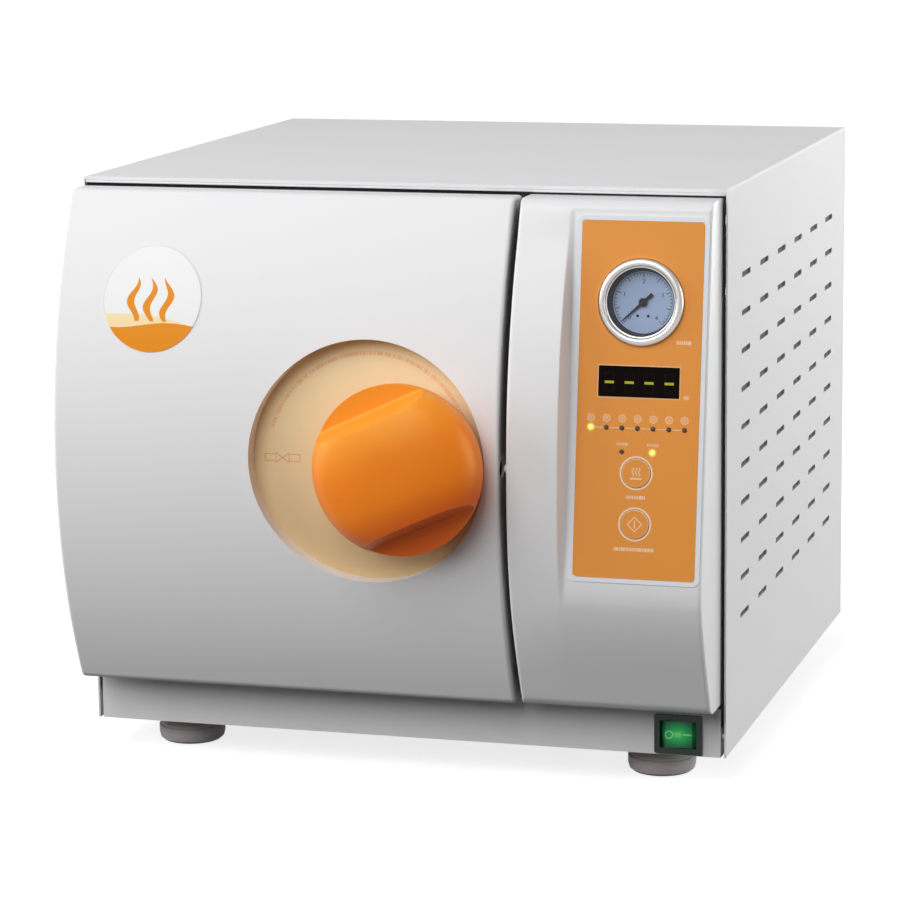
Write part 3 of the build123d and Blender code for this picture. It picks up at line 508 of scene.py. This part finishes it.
bow_radius, bow_y, bow_z = 0.3652, case_front + 0.2985, 0.220
fascia_left, fascia_right, fascia_low, fascia_high = 0.0909, 0.2186, 0.059, 0.395
fascia_back = case_front + 0.0039
side_round, end_round, fascia_wall = 0.0025, 0.006, 0.002
across_steps, up_steps = 160, 192
wall_stops = (0.25, 0.1165), (0.33, 0.1240), (0.50, 0.1300)
chin_swell, chin_low, chin_high, chin_end, chin_top = 0.0044, 0.070, 0.138, 0.150, 0.240
swell_left, swell_width = 0.0915, 0.033
lip_sink, lip_swell, lip_foot, lip_top = 0.003, 0.0038, 0.25, 0.38
wall_left, wall_right, wall_low, wall_high = 0.1250, 0.1290, 0.3870, 0.3915
panel_round, lip_round = 0.004, 0.003
panel_x, panel_y, panel_z, panel_lean = 0.1742, case_front - 0.0463, 0.270, 0.136
slope = sqrt(1 + panel_lean * panel_lean)
panel_frame = Matrix((
    (1, 0, 0, panel_x),
    (0, panel_lean / slope, -1 / slope, panel_y),
    (0, 1 / slope, panel_lean / slope, panel_z),
    (0, 0, 0, 1),
))
gauge_up, display_up, key_ups = 0.0623, 0.0113, (-0.0473, -0.0802)
gauge_hole, key_hole, pin_hole = 0.0263, 0.0097, 0.0036
display_half = (0.0265, 0.0098)
lock_pin_y, lock_pin_z = case_front - 0.0576, 0.2234


def smooth(value, low, high):
    """Run from 0 to 1 with a soft start and end."""
    share = min(1, max(0, (value - low) / (high - low)))
    return share * share * (3 - 2 * share)


def soft_max(first, second, reach):
    """The larger of two, rounded where they cross."""
    near = max(reach - abs(first - second), 0) / reach
    return max(first, second) + near * near * reach / 4


def bow_front(z):
    """How far back the bow lies at a height."""
    return bow_y - sqrt(bow_radius**2 - (z - bow_z) ** 2)


def fascia_front(x, z):
    """How far back the face lies: the bow, swollen towards the panel's ends, and the panel."""
    bow = bow_front(z)
    chin = chin_swell * smooth(z, chin_low, chin_high)
    panel = soft_max(bow - chin, panel_y + (z - panel_z) * panel_lean, panel_round)
    lip = lip_swell * smooth(z, lip_foot, lip_top) - lip_sink
    rim = -soft_max(chin * smooth(z, chin_top, chin_end) - bow, lip - panel, lip_round)
    swell = 0.5 + 0.5 * min(1, (x - swell_left) / swell_width)
    shoulder = bow + (rim - bow) * swell
    sunk = smooth(x, wall_left, wall_right) * smooth(z, wall_high, wall_low)
    return shoulder + (panel - shoulder) * sunk


def spread(share, *stops):
    """A place between two ends, by stops of (share, place), closer where the form turns."""
    for (share_0, place_0), (share_1, place_1) in zip(stops, stops[1:]):
        if share <= share_1:
            return place_0 + (place_1 - place_0) * (share - share_0) / (share_1 - share_0)


def rounded_step(share, low, high, radius, *stops):
    """A place between two ends, and how far a round at either end has dropped it there."""
    arc = 5 / 64
    if share < arc or share > 1 - arc:
        angle = min(share, 1 - share) / arc * pi / 2
        along, drop = radius * (1 - cos(angle)), radius * (1 - sin(angle))
        return (low + along if share < arc else high - along), drop
    share = (share - arc) / (1 - 2 * arc)
    return spread(share, (0, low + radius), *stops, (1, high - radius)), 0


def add_post(form, across, up, radius, low, high, sides=64):
    """Add a round post that stands square on the panel."""
    place = panel_frame @ Matrix.Translation((across, up, (low + high) / 2))
    bmesh.ops.create_cone(
        form, cap_ends=True, segments=sides, radius1=radius, radius2=radius,
        depth=high - low, matrix=place,
    )


fascia_plastic, shader, place = new_finish("fascia_plastic", specular_ior_level=0.26)
cloud = place.noise(8, 3)
cloud.mix(tint(231, 231, 232), tint(236, 236, 237)).feed(shader, "Base Color")
(0.34 + cloud * 0.07).feed(shader, "Roughness")
place.noise(1100, 2).bump(0.03, 0.0002).feed(shader, "Normal")

form = bmesh.new()
bmesh.ops.create_grid(form, x_segments=across_steps, y_segments=up_steps, size=1)
for vertex in form.verts:
    share = (vertex.co.x + 1) / 2
    x, side_drop = rounded_step(share, fascia_left, fascia_right, side_round, *wall_stops)
    z, end_drop = rounded_step((vertex.co.y + 1) / 2, fascia_low, fascia_high, end_round)
    drop = max(side_drop, end_drop) + min(side_drop, end_drop) * 0.3
    vertex.co = (x, fascia_front(x, z) + drop, z)
rim = bmesh.ops.extrude_edge_only(form, edges=[edge for edge in form.edges if edge.is_boundary])
for vertex in points_of(rim["geom"]):
    vertex.co.y = fascia_back
fascia = add_piece("fascia_shell", form, fascia_plastic, "case", "fascia_plastic", "control_fascia")

form = bmesh.new()
deep = 0.012
add_post(form, 0, gauge_up, gauge_hole, -deep, deep, 96)
for up in key_ups:
    add_post(form, 0, up, key_hole, -deep, deep)
window = (2 * display_half[0] + 0.0002, 2 * display_half[1] + 0.0002, 2 * deep)
add_box(form, window, (0, display_up, 0), panel_frame)
pin_place = Matrix.Translation((0.089, lock_pin_y, lock_pin_z)) @ Matrix.Rotation(pi / 2, 4, "Y")
bmesh.ops.create_cone(
    form, cap_ends=True, segments=32, radius1=pin_hole, radius2=pin_hole, depth=deep,
    matrix=pin_place,
)
cutter_mesh = bpy.data.meshes.new("openings")
form.to_mesh(cutter_mesh)
form.free()
cutter = bpy.data.objects.new("openings", cutter_mesh)
bpy.context.scene.collection.objects.link(cutter)


def carve(piece, tool, wall):
    """Give a sheet piece its wall and cut a tool out of it, for good."""
    sheet = piece.modifiers.new("wall", "SOLIDIFY")
    sheet.thickness = wall
    sheet.offset = -1
    cut = piece.modifiers.new("cut", "BOOLEAN")
    cut.object = tool
    cut.operation = "DIFFERENCE"
    cut.solver = "EXACT"
    graph = bpy.context.evaluated_depsgraph_get()
    made = bpy.data.meshes.new_from_object(piece.evaluated_get(graph))
    piece.modifiers.clear()
    piece.data = made
    made.set_sharp_from_angle(angle=crease)
    bpy.data.objects.remove(tool)


carve(fascia, cutter, fascia_wall)

# Black strips on the fascia's left wall are painted shade: they fill the gap beside the door
# so that it looks black. They leave the lock pin free.

shade_strip_thick, shade_strip_back = 0.0009, 0.0042
shade_strips = (("lower_shade_strip", 0.064, 0.2170), ("upper_shade_strip", 0.2300, 0.3895))


def moulded(name, colour, roughness=0.45, grain=0.12, sheen=0.35):
    """Plain moulded plastic with a fine spark grain."""
    finish, shader, place = new_finish(name, specular_ior_level=sheen)
    base = tint(*colour)
    place.noise(18, 3).mix([part * 0.85 for part in base], base).feed(shader, "Base Color")
    (roughness + place.noise(600, 3) * 0.1).feed(shader, "Roughness")
    place.noise(1600, 2).bump(grain, 0.0002).feed(shader, "Normal")
    return finish


# A black finish that stands in for the shade in the gap.
gap_shade = moulded("painted_shade_strip", (15, 14, 15), 0.8, 0.5)
for name, strip_low, strip_high in shade_strips:
    form = bmesh.new()
    bmesh.ops.create_grid(form, x_segments=1, y_segments=48, size=1)
    for vertex in form.verts:
        z = strip_low + (strip_high - strip_low) * (vertex.co.y + 1) / 2
        y = bow_front(z) + shade_strip_back if vertex.co.x < 0 else case_front
        vertex.co = (fascia_left, y, z)
    raised = bmesh.ops.extrude_face_region(form, geom=form.faces[:])["geom"]
    bmesh.ops.translate(form, vec=(-shade_strip_thick, 0, 0), verts=points_of(raised))
    add_piece(name, form, gap_shade, "case", "black_plastic")

# The lock pin has a white nylon tip. It shows as a small bright dot in the gap beside the door,
# and rides with the pin.

tip_outline = (
    (0.0, 0.0032), (0.0014, 0.0031), (0.0024, 0.0026), (0.0030, 0.0018), (0.0031, 0.0008),
    (0.0031, -0.0004), (0.0, -0.0004),
)


def add_turned(form, outline, steps, place):
    """Spin an outline of (radius, height) points about an upright axis."""
    points = [form.verts.new((radius, 0, height)) for radius, height in outline]
    edges = [form.edges.new(pair) for pair in zip(points, points[1:] + points[:1])]
    bmesh.ops.spin(
        form, geom=points + edges, cent=(0, 0, 0), axis=(0, 0, 1), angle=2 * pi, steps=steps,
        use_merge=True,
    )
    bmesh.ops.transform(form, matrix=place, verts=form.verts)


nylon = moulded("white_nylon", (236, 236, 234), 0.4, 0.03)
form = bmesh.new()
tip_spot = Matrix.Translation((fascia_left, lock_pin_y, lock_pin_z))
add_turned(form, tip_outline, 32, tip_spot @ Matrix.Rotation(-pi / 2, 4, "Y"))
bmesh.ops.remove_doubles(form, verts=form.verts, dist=0.000001)
add_piece("pin_tip", form, nylon, "lock_pin", "fascia_plastic")

# The overlay is a printed polyester foil on the leaning panel, stuck inside a bluish white rim.
# The print has pale rings round the keys, a line that joins the lamps, small icons and rows
# of plain strokes. A pale glow round the two lit lamps is painted light.

overlay_half, overlay_low, overlay_high = 0.0402, -0.1156, 0.1142
lamp_pitch, lamp_row, lamp_pair = 0.01027, -0.0186, -0.0339
pair_places = (-0.0099, 0.0102)
icon_row = -0.0125
stroke_rows = (
    (0, -0.0629, 0.0125, 0.0021, 0.0011), (0, -0.0965, 0.0265, 0.0021, 0.0011),
    (0.0286, 0.0372, 0.0095, 0.0022, 0.0012), (0.0312, 0.0021, 0.0034, 0.0024, 0.0012),
)
pair_strokes = (-0.029, 0.0078, 0.0017, 0.0009)
key_ring = 0.00995
rim_width, rim_rise, rim_corner = 0.0031, 0.00035, 0.0045


def on_panel(place):
    """Where a place is on the panel: across it, and up it."""
    across = place.along("X") - panel_x
    up = (place.along("Z") - panel_z) * (1 / slope)
    return across, up + (place.along("Y") - panel_y) * (panel_lean / slope)


def disc(across, up, x, y):
    """How far a place is from a point on the panel."""
    x, y = across - x, up - y
    return (x * x + y * y).maths("SQRT")


def strokes(across, up, x, y, width, height, pitch):
    """A row of uneven upright strokes."""
    count = (across - x) * (1 / pitch)
    solid = count.chance().ramp(0.55, 0.65)
    wide = abs(across - x).ramp(width / 2 + 0.0001, width / 2)
    high = abs(up - y).ramp(height / 2 + 0.0002, height / 2)
    return wide & high & (count.maths("FRACT").ramp(0.75, 0.6) | solid)


def key_print(across, up):
    """The ring round each key and the sign in it: steam over a bar, and a start diamond."""
    upper, lower = key_ups
    marks = abs(disc(across, up, 0, upper) - key_ring).ramp(0.0011, 0.0009)
    marks = marks | abs(disc(across, up, 0, lower) - key_ring).ramp(0.0011, 0.0009)
    swayed = abs(across + ((up - upper) * 1900).maths("SINE") * 0.0005)
    wave = abs(swayed - 0.0021) & swayed
    steam = wave.ramp(0.00055, 0.0003) & abs(up - upper - 0.0009).ramp(0.0027, 0.0025)
    bar = abs(across).ramp(0.0039, 0.0037) & abs(up - upper + 0.0036).ramp(0.0007, 0.0005)
    diamond = abs(abs(across) + abs(up - lower) - 0.0047).ramp(0.0006, 0.0004)
    stem = abs(across).ramp(0.0006, 0.0004) & abs(up - lower).ramp(0.0027, 0.0025)
    return marks | ((steam | bar | diamond | stem) * 0.8)


def overlay_foil(name):
    """The printed foil, with the marks of the keys where they are."""
    finish, shader, place = new_finish(name, specular_ior_level=0.3)
    across, up = on_panel(place)
    cloud = place.noise(12, 3)
    skin = cloud.mix(tint(231, 148, 60), tint(236, 153, 64))
    marks = key_print(across, up)
    line = abs(up - lamp_row).ramp(0.0004, 0.0002) & abs(across).ramp(0.0309, 0.0307)
    cell = (across * (1 / lamp_pitch) + 0.5).maths("FRACT") - 0.5
    beside = cell * lamp_pitch
    over = up - icon_row
    from_icon = (beside * beside + over * over).maths("SQRT")
    icons = abs(from_icon - 0.0023).ramp(0.0004, 0.0002) * 0.7
    icons = icons | (from_icon.ramp(0.0024, 0.0022) * 0.28)
    upright = (abs(beside) | (abs(over) * 0.5)).ramp(0.0006, 0.0004)
    level = ((abs(beside) * 0.5) | abs(over)).ramp(0.0006, 0.0004)
    icons = (icons | (upright | level) * 0.5) & abs(across).ramp(0.0345, 0.0343)
    rows = strokes(across, up, *stroke_rows[0])
    for row in stroke_rows[1:]:
        rows = rows | strokes(across, up, *row)
    for x in pair_places:
        rows = rows | strokes(across, up, x, *pair_strokes) * 0.7
    frame = (abs(across) - display_half[0]) | (abs(up - display_up) - display_half[1])
    edge = abs(frame - 0.0005).ramp(0.0005, 0.0003) * 0.5
    marks = marks | line * 0.75 | icons | rows * 0.85 | edge
    skin = marks.mix(skin, tint(250, 214, 180))
    over = up - lamp_row
    from_lamp = (beside * beside + over * over).maths("SQRT") | (abs(across) - 0.0345) * 9
    from_left, from_right = (disc(across, up, x, lamp_pair) for x in pair_places)
    dark_ring = (from_lamp & from_left & from_right).ramp(0.0019, 0.0015)
    skin = (dark_ring * 0.8).mix(skin, tint(92, 60, 36))
    # A pale painted glow round the two lit lamps stands in for their light on the foil.
    lit = disc(across, up, -3 * lamp_pitch, lamp_row) & from_right
    lit.ramp(0.0034, 0.0012).mix(skin, tint(255, 240, 150)).feed(shader, "Base Color")
    (0.4 + cloud * 0.06 + marks * 0.05).feed(shader, "Roughness")
    place.noise(1500, 2).bump(0.05, 0.0001).feed(shader, "Normal")
    return finish


finish_nodes(overlay_foil("overlay_foil"), "membrane_overlay", "key_upper", "key_lower")

foil_rim, shader, place = new_finish("foil_rim", specular_ior_level=0.4)
place.noise(30, 2).mix(tint(228, 232, 237), tint(236, 239, 242)).feed(shader, "Base Color")
(0.3 + place.noise(200, 2) * 0.06).feed(shader, "Roughness")

form = bmesh.new()
half_x = overlay_half + rim_width
half_y = (overlay_high - overlay_low) / 2 + rim_width
rim_place = panel_frame @ Matrix.Translation((0, (overlay_low + overlay_high) / 2, 0))
rim_size = rim_place @ Matrix.Diagonal((half_x, half_y, 1, 1))
corners = bmesh.ops.create_grid(form, x_segments=1, y_segments=1, size=1, matrix=rim_size)["verts"]
round_off(form, corners, rim_corner, 6, "VERTICES")
plate = form.faces[:]
flat_rim = bmesh.ops.inset_region(
    form, faces=plate, thickness=rim_width - 0.0001, use_even_offset=True, use_boundary=True
)
bmesh.ops.delete(form, geom=plate, context="FACES_ONLY")
raised = bmesh.ops.extrude_face_region(form, geom=flat_rim["faces"])["geom"]
lift = rim_place.to_3x3() @ Vector((0, 0, rim_rise))
bmesh.ops.translate(form, vec=lift, verts=points_of(raised))
add_piece("overlay_rim", form, foil_rim, "case", "orange_overlay")

# The pressure gauge: a polished ring pressed over a black case, with a pale blue dial behind
# glass. The dial carries a scale of plain numbers.

gauge_place = panel_frame @ Matrix.Translation((0, gauge_up, 0))
ring_outline = (
    (0.0284, 0.0005), (0.0284, 0.0014), (0.0281, 0.0022), (0.0275, 0.0030), (0.0267, 0.0036),
    (0.0257, 0.0040), (0.0247, 0.0040), (0.0238, 0.0036), (0.0232, 0.0029), (0.0230, 0.0023),
    (0.0222, 0.0022), (0.0222, 0.0019), (0.0234, 0.0019), (0.0236, 0.0005),
)
lining_outline = (
    (0.0245, 0.0003), (0.0232, 0.0003), (0.0224, -0.0002), (0.0201, -0.0050), (0.0200, -0.0053),
    (0.0245, -0.0053),
)
sweep_start, sweep, fine_count, bold_count = 228, 276, 40, 8
scale_radius, number_radius, number_height = 0.0190, 0.0134, 0.0040
dial_top, rivet_radius, rivet_up, rivet_beside = -0.00535, 0.0009, -0.0088, 0.0035

chrome = plated("chrome_ring", (180, 177, 175), 0.26, (40, 40, 40), 0.003)
form = bmesh.new()
add_turned(form, ring_outline, 128, gauge_place)
add_piece("gauge_ring", form, chrome, "case", "chrome_ring", "gauge_bezel")

gauge_black = moulded("gauge_case_black", (20, 19, 20))
finish_nodes(gauge_black, "gauge_case")
form = bmesh.new()
add_turned(form, lining_outline, 96, gauge_place)
add_piece("gauge_lining", form, gauge_black, "case", "gauge_black")

dial_face, shader, place = new_finish("gauge_dial_face", specular_ior_level=0.3)
across, up = on_panel(place)
up = up - gauge_up
reach = (across * across + up * up).maths("SQRT")
turn = up.maths("ARCTAN2", across) * (180 / pi)
swept = (sweep_start - turn).maths("MODULO", 360)
scale = swept.ramp(sweep + 0.6, sweep + 0.2)
fine_part = abs((swept * (fine_count / sweep) + 0.5).maths("FRACT") - 0.5)
fine = fine_part.ramp(0.17, 0.10) & abs(reach - 0.0181).ramp(0.0009, 0.0007)
bold_part = abs((swept * (bold_count / sweep) + 0.5).maths("FRACT") - 0.5)
bold = bold_part.ramp(0.05, 0.035) & abs(reach - 0.0174).ramp(0.0016, 0.0014)
arc = abs(reach - scale_radius).ramp(0.0003, 0.0002)
hub_ring = reach.ramp(0.0034, 0.0032)
marks = ((fine | bold | arc) & scale) * 0.7
skin = place.noise(60, 3).mix(tint(150, 170, 204), tint(164, 184, 216))
skin = marks.mix(skin, tint(46, 52, 70))
skin = (hub_ring * 0.4).mix(skin, tint(90, 98, 118))
skin.feed(shader, "Base Color")
(0.4 + place.noise(300, 2) * 0.08).feed(shader, "Roughness")
finish_nodes(dial_face, "gauge_dial")
needle_black = moulded("needle_black", (14, 16, 24), 0.6, sheen=0.12)
finish_nodes(needle_black, "gauge_needle")


def add_words(name, words, finish):
    """Set plain numbers on the dial, each as (text, across, up, height)."""
    form = bmesh.new()
    for text, across, up, height in words:
        line = bpy.data.curves.new(name, "FONT")
        line.body = text
        line.size = height
        line.align_x = "CENTER"
        line.align_y = "CENTER"
        line.resolution_u = 3
        holder = bpy.data.objects.new(name, line)
        made = bpy.data.meshes.new_from_object(holder)
        made.transform(panel_frame @ Matrix.Translation((across, up, dial_top)))
        form.from_mesh(made)
        bpy.data.objects.remove(holder)
        bpy.data.curves.remove(line)
        bpy.data.meshes.remove(made)
    bmesh.ops.remove_doubles(form, verts=form.verts, dist=0.00001)
    mesh = bpy.data.meshes.new(name)
    form.to_mesh(mesh)
    form.free()
    mesh.materials.append(finish)
    piece = bpy.data.objects.new(name, mesh)
    bpy.context.scene.collection.objects.link(piece)
    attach(piece, "case")


numbers = []
for step in range(5):
    angle = radians(sweep_start - sweep * step / 4)
    across, up = number_radius * cos(angle), gauge_up + number_radius * sin(angle)
    numbers.append((str(step), across, up, number_height))
add_words("dial_numbers", numbers, needle_black)

form = bmesh.new()
for x in (-rivet_beside, rivet_beside):
    add_post(form, x, gauge_up + rivet_up, rivet_radius, dial_top - 0.0002, dial_top + 0.0002, 20)
add_piece("dial_rivets", form, needle_black, "case", "needle_black")

glass, shader, place = new_finish(
    "clear_glass", roughness=0.03, ior=1.45, alpha=0.03, base_color=(0.8, 0.8, 0.8, 1)
)
finish_nodes(glass, "gauge_glass")

# The number display: four seven-segment digits behind a dark lens. Each shows one dash, and
# the segments that are off can just be seen.

digit_places, digit_up = (-0.0193, -0.0062, 0.0068, 0.0200), 0.0107
lens, shader, place = new_finish("display_lens", specular_ior_level=0.03, emission_strength=1.0)
across, up = on_panel(place)
level = up - digit_up
digits, ghosts = None, None
for x in digit_places:
    beside = across - x
    dash = abs(beside).ramp(0.0031, 0.0029) & abs(level).ramp(0.0009, 0.0007)
    box = (abs(beside) - 0.0028) | (abs(level) - 0.0060)
    unlit = abs(box).ramp(0.0007, 0.0006)
    digits = dash if digits is None else digits | dash
    ghosts = unlit if ghosts is None else ghosts | unlit
skin = place.noise(20, 2).mix(tint(8, 5, 4), tint(12, 7, 6))
skin = (ghosts * 0.5).mix(skin, tint(28, 20, 14))
skin.feed(shader, "Base Color")
digits.mix((0, 0, 0), tint(168, 164, 48)).feed(shader, "Emission Color")
(0.22 + place.noise(200, 2) * 0.05).feed(shader, "Roughness")
finish_nodes(lens, "display_window")

# The lamps are small domed light guides. Most are dark amber, the first of the row and the
# right one of the pair are lit.

dome = (
    (0, 0.0010), (0.0005, 0.00095), (0.0009, 0.0008), (0.0012, 0.0005), (0.00125, 0.0002),
    (0.00125, -0.004), (0, -0.004),
)
lamp_places = [((step - 3) * lamp_pitch, lamp_row) for step in range(7)]
lamp_places += [(x, lamp_pair) for x in pair_places]

lamp_dark = moulded("lamp_dark", (74, 46, 30), 0.25, 0.02)
lamp_lit, shader, place = new_finish("lamp_lit", specular_ior_level=0.4, emission_strength=1.6)
glow = place.noise(900, 1).mix(tint(250, 226, 60), tint(255, 240, 110))
glow.feed(shader, "Base Color")
glow.feed(shader, "Emission Color")
(0.25 + place.noise(200, 1) * 0.05).feed(shader, "Roughness")
lamp_groups = (
    ("lamps_dark", lamp_dark, lamp_places[1:8]),
    ("lamps_lit", lamp_lit, [lamp_places[0], lamp_places[8]]),
)
for name, finish, places in lamp_groups:
    form = bmesh.new()
    for across, up in places:
        lamp = bmesh.new()
        add_turned(lamp, dome, 24, panel_frame @ Matrix.Translation((across, up, 0.0005)))
        bmesh.ops.remove_doubles(lamp, verts=lamp.verts, dist=0.000001)
        one = bpy.data.meshes.new("lamp")
        lamp.to_mesh(one)
        lamp.free()
        form.from_mesh(one)
        bpy.data.meshes.remove(one)
    add_piece(name, form, finish, "case", "lamp_lens", "indicator_lamps")

# The lit power switch is a black housing snapped into the tray's lip, with a clear green
# rocker that carries a ring and a bar.

switch_x, switch_z = 0.1905, 0.0374
finish_nodes(moulded("switch_black", (7, 24, 17), 0.5, 0.05), "power_switch_housing")
green, shader, place = new_finish("switch_green", specular_ior_level=0.2, emission_strength=0.45)
x = place.along("X") - switch_x
z = place.along("Z") - switch_z
centre = (x * x * 0.6 + z * z).maths("SQRT")
skin = centre.ramp(0.0115, 0.001).mix(tint(10, 62, 40), tint(30, 158, 84))
bar = abs(x - 0.0062).ramp(0.0030, 0.0028) & abs(z).ramp(0.0007, 0.0005)
dot = x + 0.0058
ring = abs((dot * dot + z * z).maths("SQRT") - 0.0024).ramp(0.0006, 0.0004)
hot = centre.ramp(0.0032, 0.0004) * 0.3
skin = hot.mix(skin, tint(170, 224, 110))
skin = ((bar | ring) * 0.45).mix(skin, tint(150, 214, 150))
centre.ramp(0.0, 0.02).mix(skin, tint(8, 40, 26)).feed(shader, "Base Color")
skin.feed(shader, "Emission Color")
(0.22 + place.noise(200, 2) * 0.05).feed(shader, "Roughness")
finish_nodes(green, "power_switch_rocker")

# Services in the case and on the back: the heating band and its wool, the control board, the
# tank, the transformer, and the black mouldings of the fan, the inlet, the fuses and the lock.

finish_nodes(moulded("circuit_board", (22, 92, 52), 0.4), "control_board")
finish_nodes(plated("heater_foil", (150, 132, 112), 0.4, (10, 90, 10), 0.2), "heater_band")
wool, shader, place = new_finish("insulation_wool", specular_ior_level=0.1, roughness=0.9)
tufts = place.noise(240, 6)
tufts.mix(tint(214, 206, 186), tint(238, 232, 216)).feed(shader, "Base Color")
tufts.bump(0.8, 0.002).feed(shader, "Normal")
finish_nodes(wool, "insulation_jacket")
finish_nodes(moulded("tank_plastic", (222, 226, 228), 0.35), "water_tank")
finish_nodes(moulded("iron_core", (74, 76, 82), 0.5), "transformer")
finish_nodes(
    moulded("black_plastic", (28, 28, 30), 0.45),
    "fan_housing", "fan_rotor", "power_inlet", "fuse_holders", "lock_solenoid",
)

# The studio: a white floor that keeps a soft shadow, soft boxes round the machine, and the
# camera, fitted to the corners of the cover in the photograph.

camera_spot, camera_lens = (0.6796, -2.3798, 0.6508), 140.34
camera_azimuth, camera_elevation, camera_roll = radians(16.29), radians(10.54), radians(-0.6)

floor_mesh = bpy.data.meshes.new("floor")
form = bmesh.new()
bmesh.ops.create_grid(form, x_segments=1, y_segments=1, size=40)
form.to_mesh(floor_mesh)
form.free()
floor = bpy.data.objects.new("floor", floor_mesh)
bpy.context.scene.collection.objects.link(floor)


def background_rays(tree):
    """1 for rays that show the background: seen straight, in a mirror or through glass."""
    path = tree.nodes.new("ShaderNodeLightPath")
    straight, mirror, through = (
        Shade(tree, path.outputs[name])
        for name in ("Is Camera Ray", "Is Glossy Ray", "Is Transmission Ray")
    )
    return straight | mirror | through


floor_finish, shader, place = new_finish(
    "studio_floor", roughness=1.0, specular_ior_level=0.0, emission_strength=1.0
)
seen = background_rays(floor_finish.node_tree)
x, y = place.along("X"), place.along("Y") - 0.03
away = (x * x + y * y).maths("SQRT").ramp(0.34, 0.75)
glow = away.mix((0.80, 0.80, 0.80), (1.0, 1.0, 1.0))
seen.mix((0.05, 0.05, 0.05), (0.42, 0.42, 0.42)).feed(shader, "Base Color")
seen.mix((0.0, 0.0, 0.0), glow).feed(shader, "Emission Color")
floor_mesh.materials.append(floor_finish)

world = bpy.data.worlds.new("studio")
world.use_nodes = True
bpy.context.scene.world = world
back = world.node_tree.nodes["Background"]
background_rays(world.node_tree).mix((0.07, 0.07, 0.073), (1.0, 1.0, 1.0)).feed(back, "Color")


def soft_box(name, azimuth, elevation, distance, size, level):
    """A square soft box that looks at the machine's middle. Level 1 lights white to white."""
    lamp = bpy.data.lights.new(name, "AREA")
    lamp.shape = "SQUARE"
    lamp.size = size
    lamp.energy = level * pi * pi * distance * distance
    holder = bpy.data.objects.new(name, lamp)
    turn, rise = radians(azimuth), radians(elevation)
    away = Vector((sin(turn) * cos(rise), -cos(turn) * cos(rise), sin(rise)))
    holder.location = Vector((0, 0, 0.2)) + away * distance
    holder.rotation_euler = away.to_track_quat("Z", "Y").to_euler()
    holder.visible_camera = False
    bpy.context.scene.collection.objects.link(holder)


soft_box("front_box", -17, 38, 3.0, 2.5, 0.83)
soft_box("right_box", 92, 12, 3.2, 1.8, 0.47)
soft_box("back_box", 158, 10, 3.2, 1.8, 0.64)
soft_box("left_box", -70, 18, 3.2, 1.8, 0.44)

camera_data = bpy.data.cameras.new("camera")
camera_data.sensor_width = 36.0
camera_data.lens = camera_lens
camera = bpy.data.objects.new("camera", camera_data)
bpy.context.scene.collection.objects.link(camera)
ahead = Vector((
    -sin(camera_azimuth) * cos(camera_elevation),
    cos(camera_azimuth) * cos(camera_elevation),
    -sin(camera_elevation),
))
level = ahead.cross(Vector((0, 0, 1))).normalized()
plumb = level.cross(ahead)
right = level * cos(camera_roll) + plumb * sin(camera_roll)
up = plumb * cos(camera_roll) - level * sin(camera_roll)
turned = Matrix((right, up, -ahead)).transposed().to_4x4()
camera.matrix_world = Matrix.Translation(camera_spot) @ turned
bpy.context.scene.camera = camera

bpy.context.scene.view_settings.view_transform = "Standard"
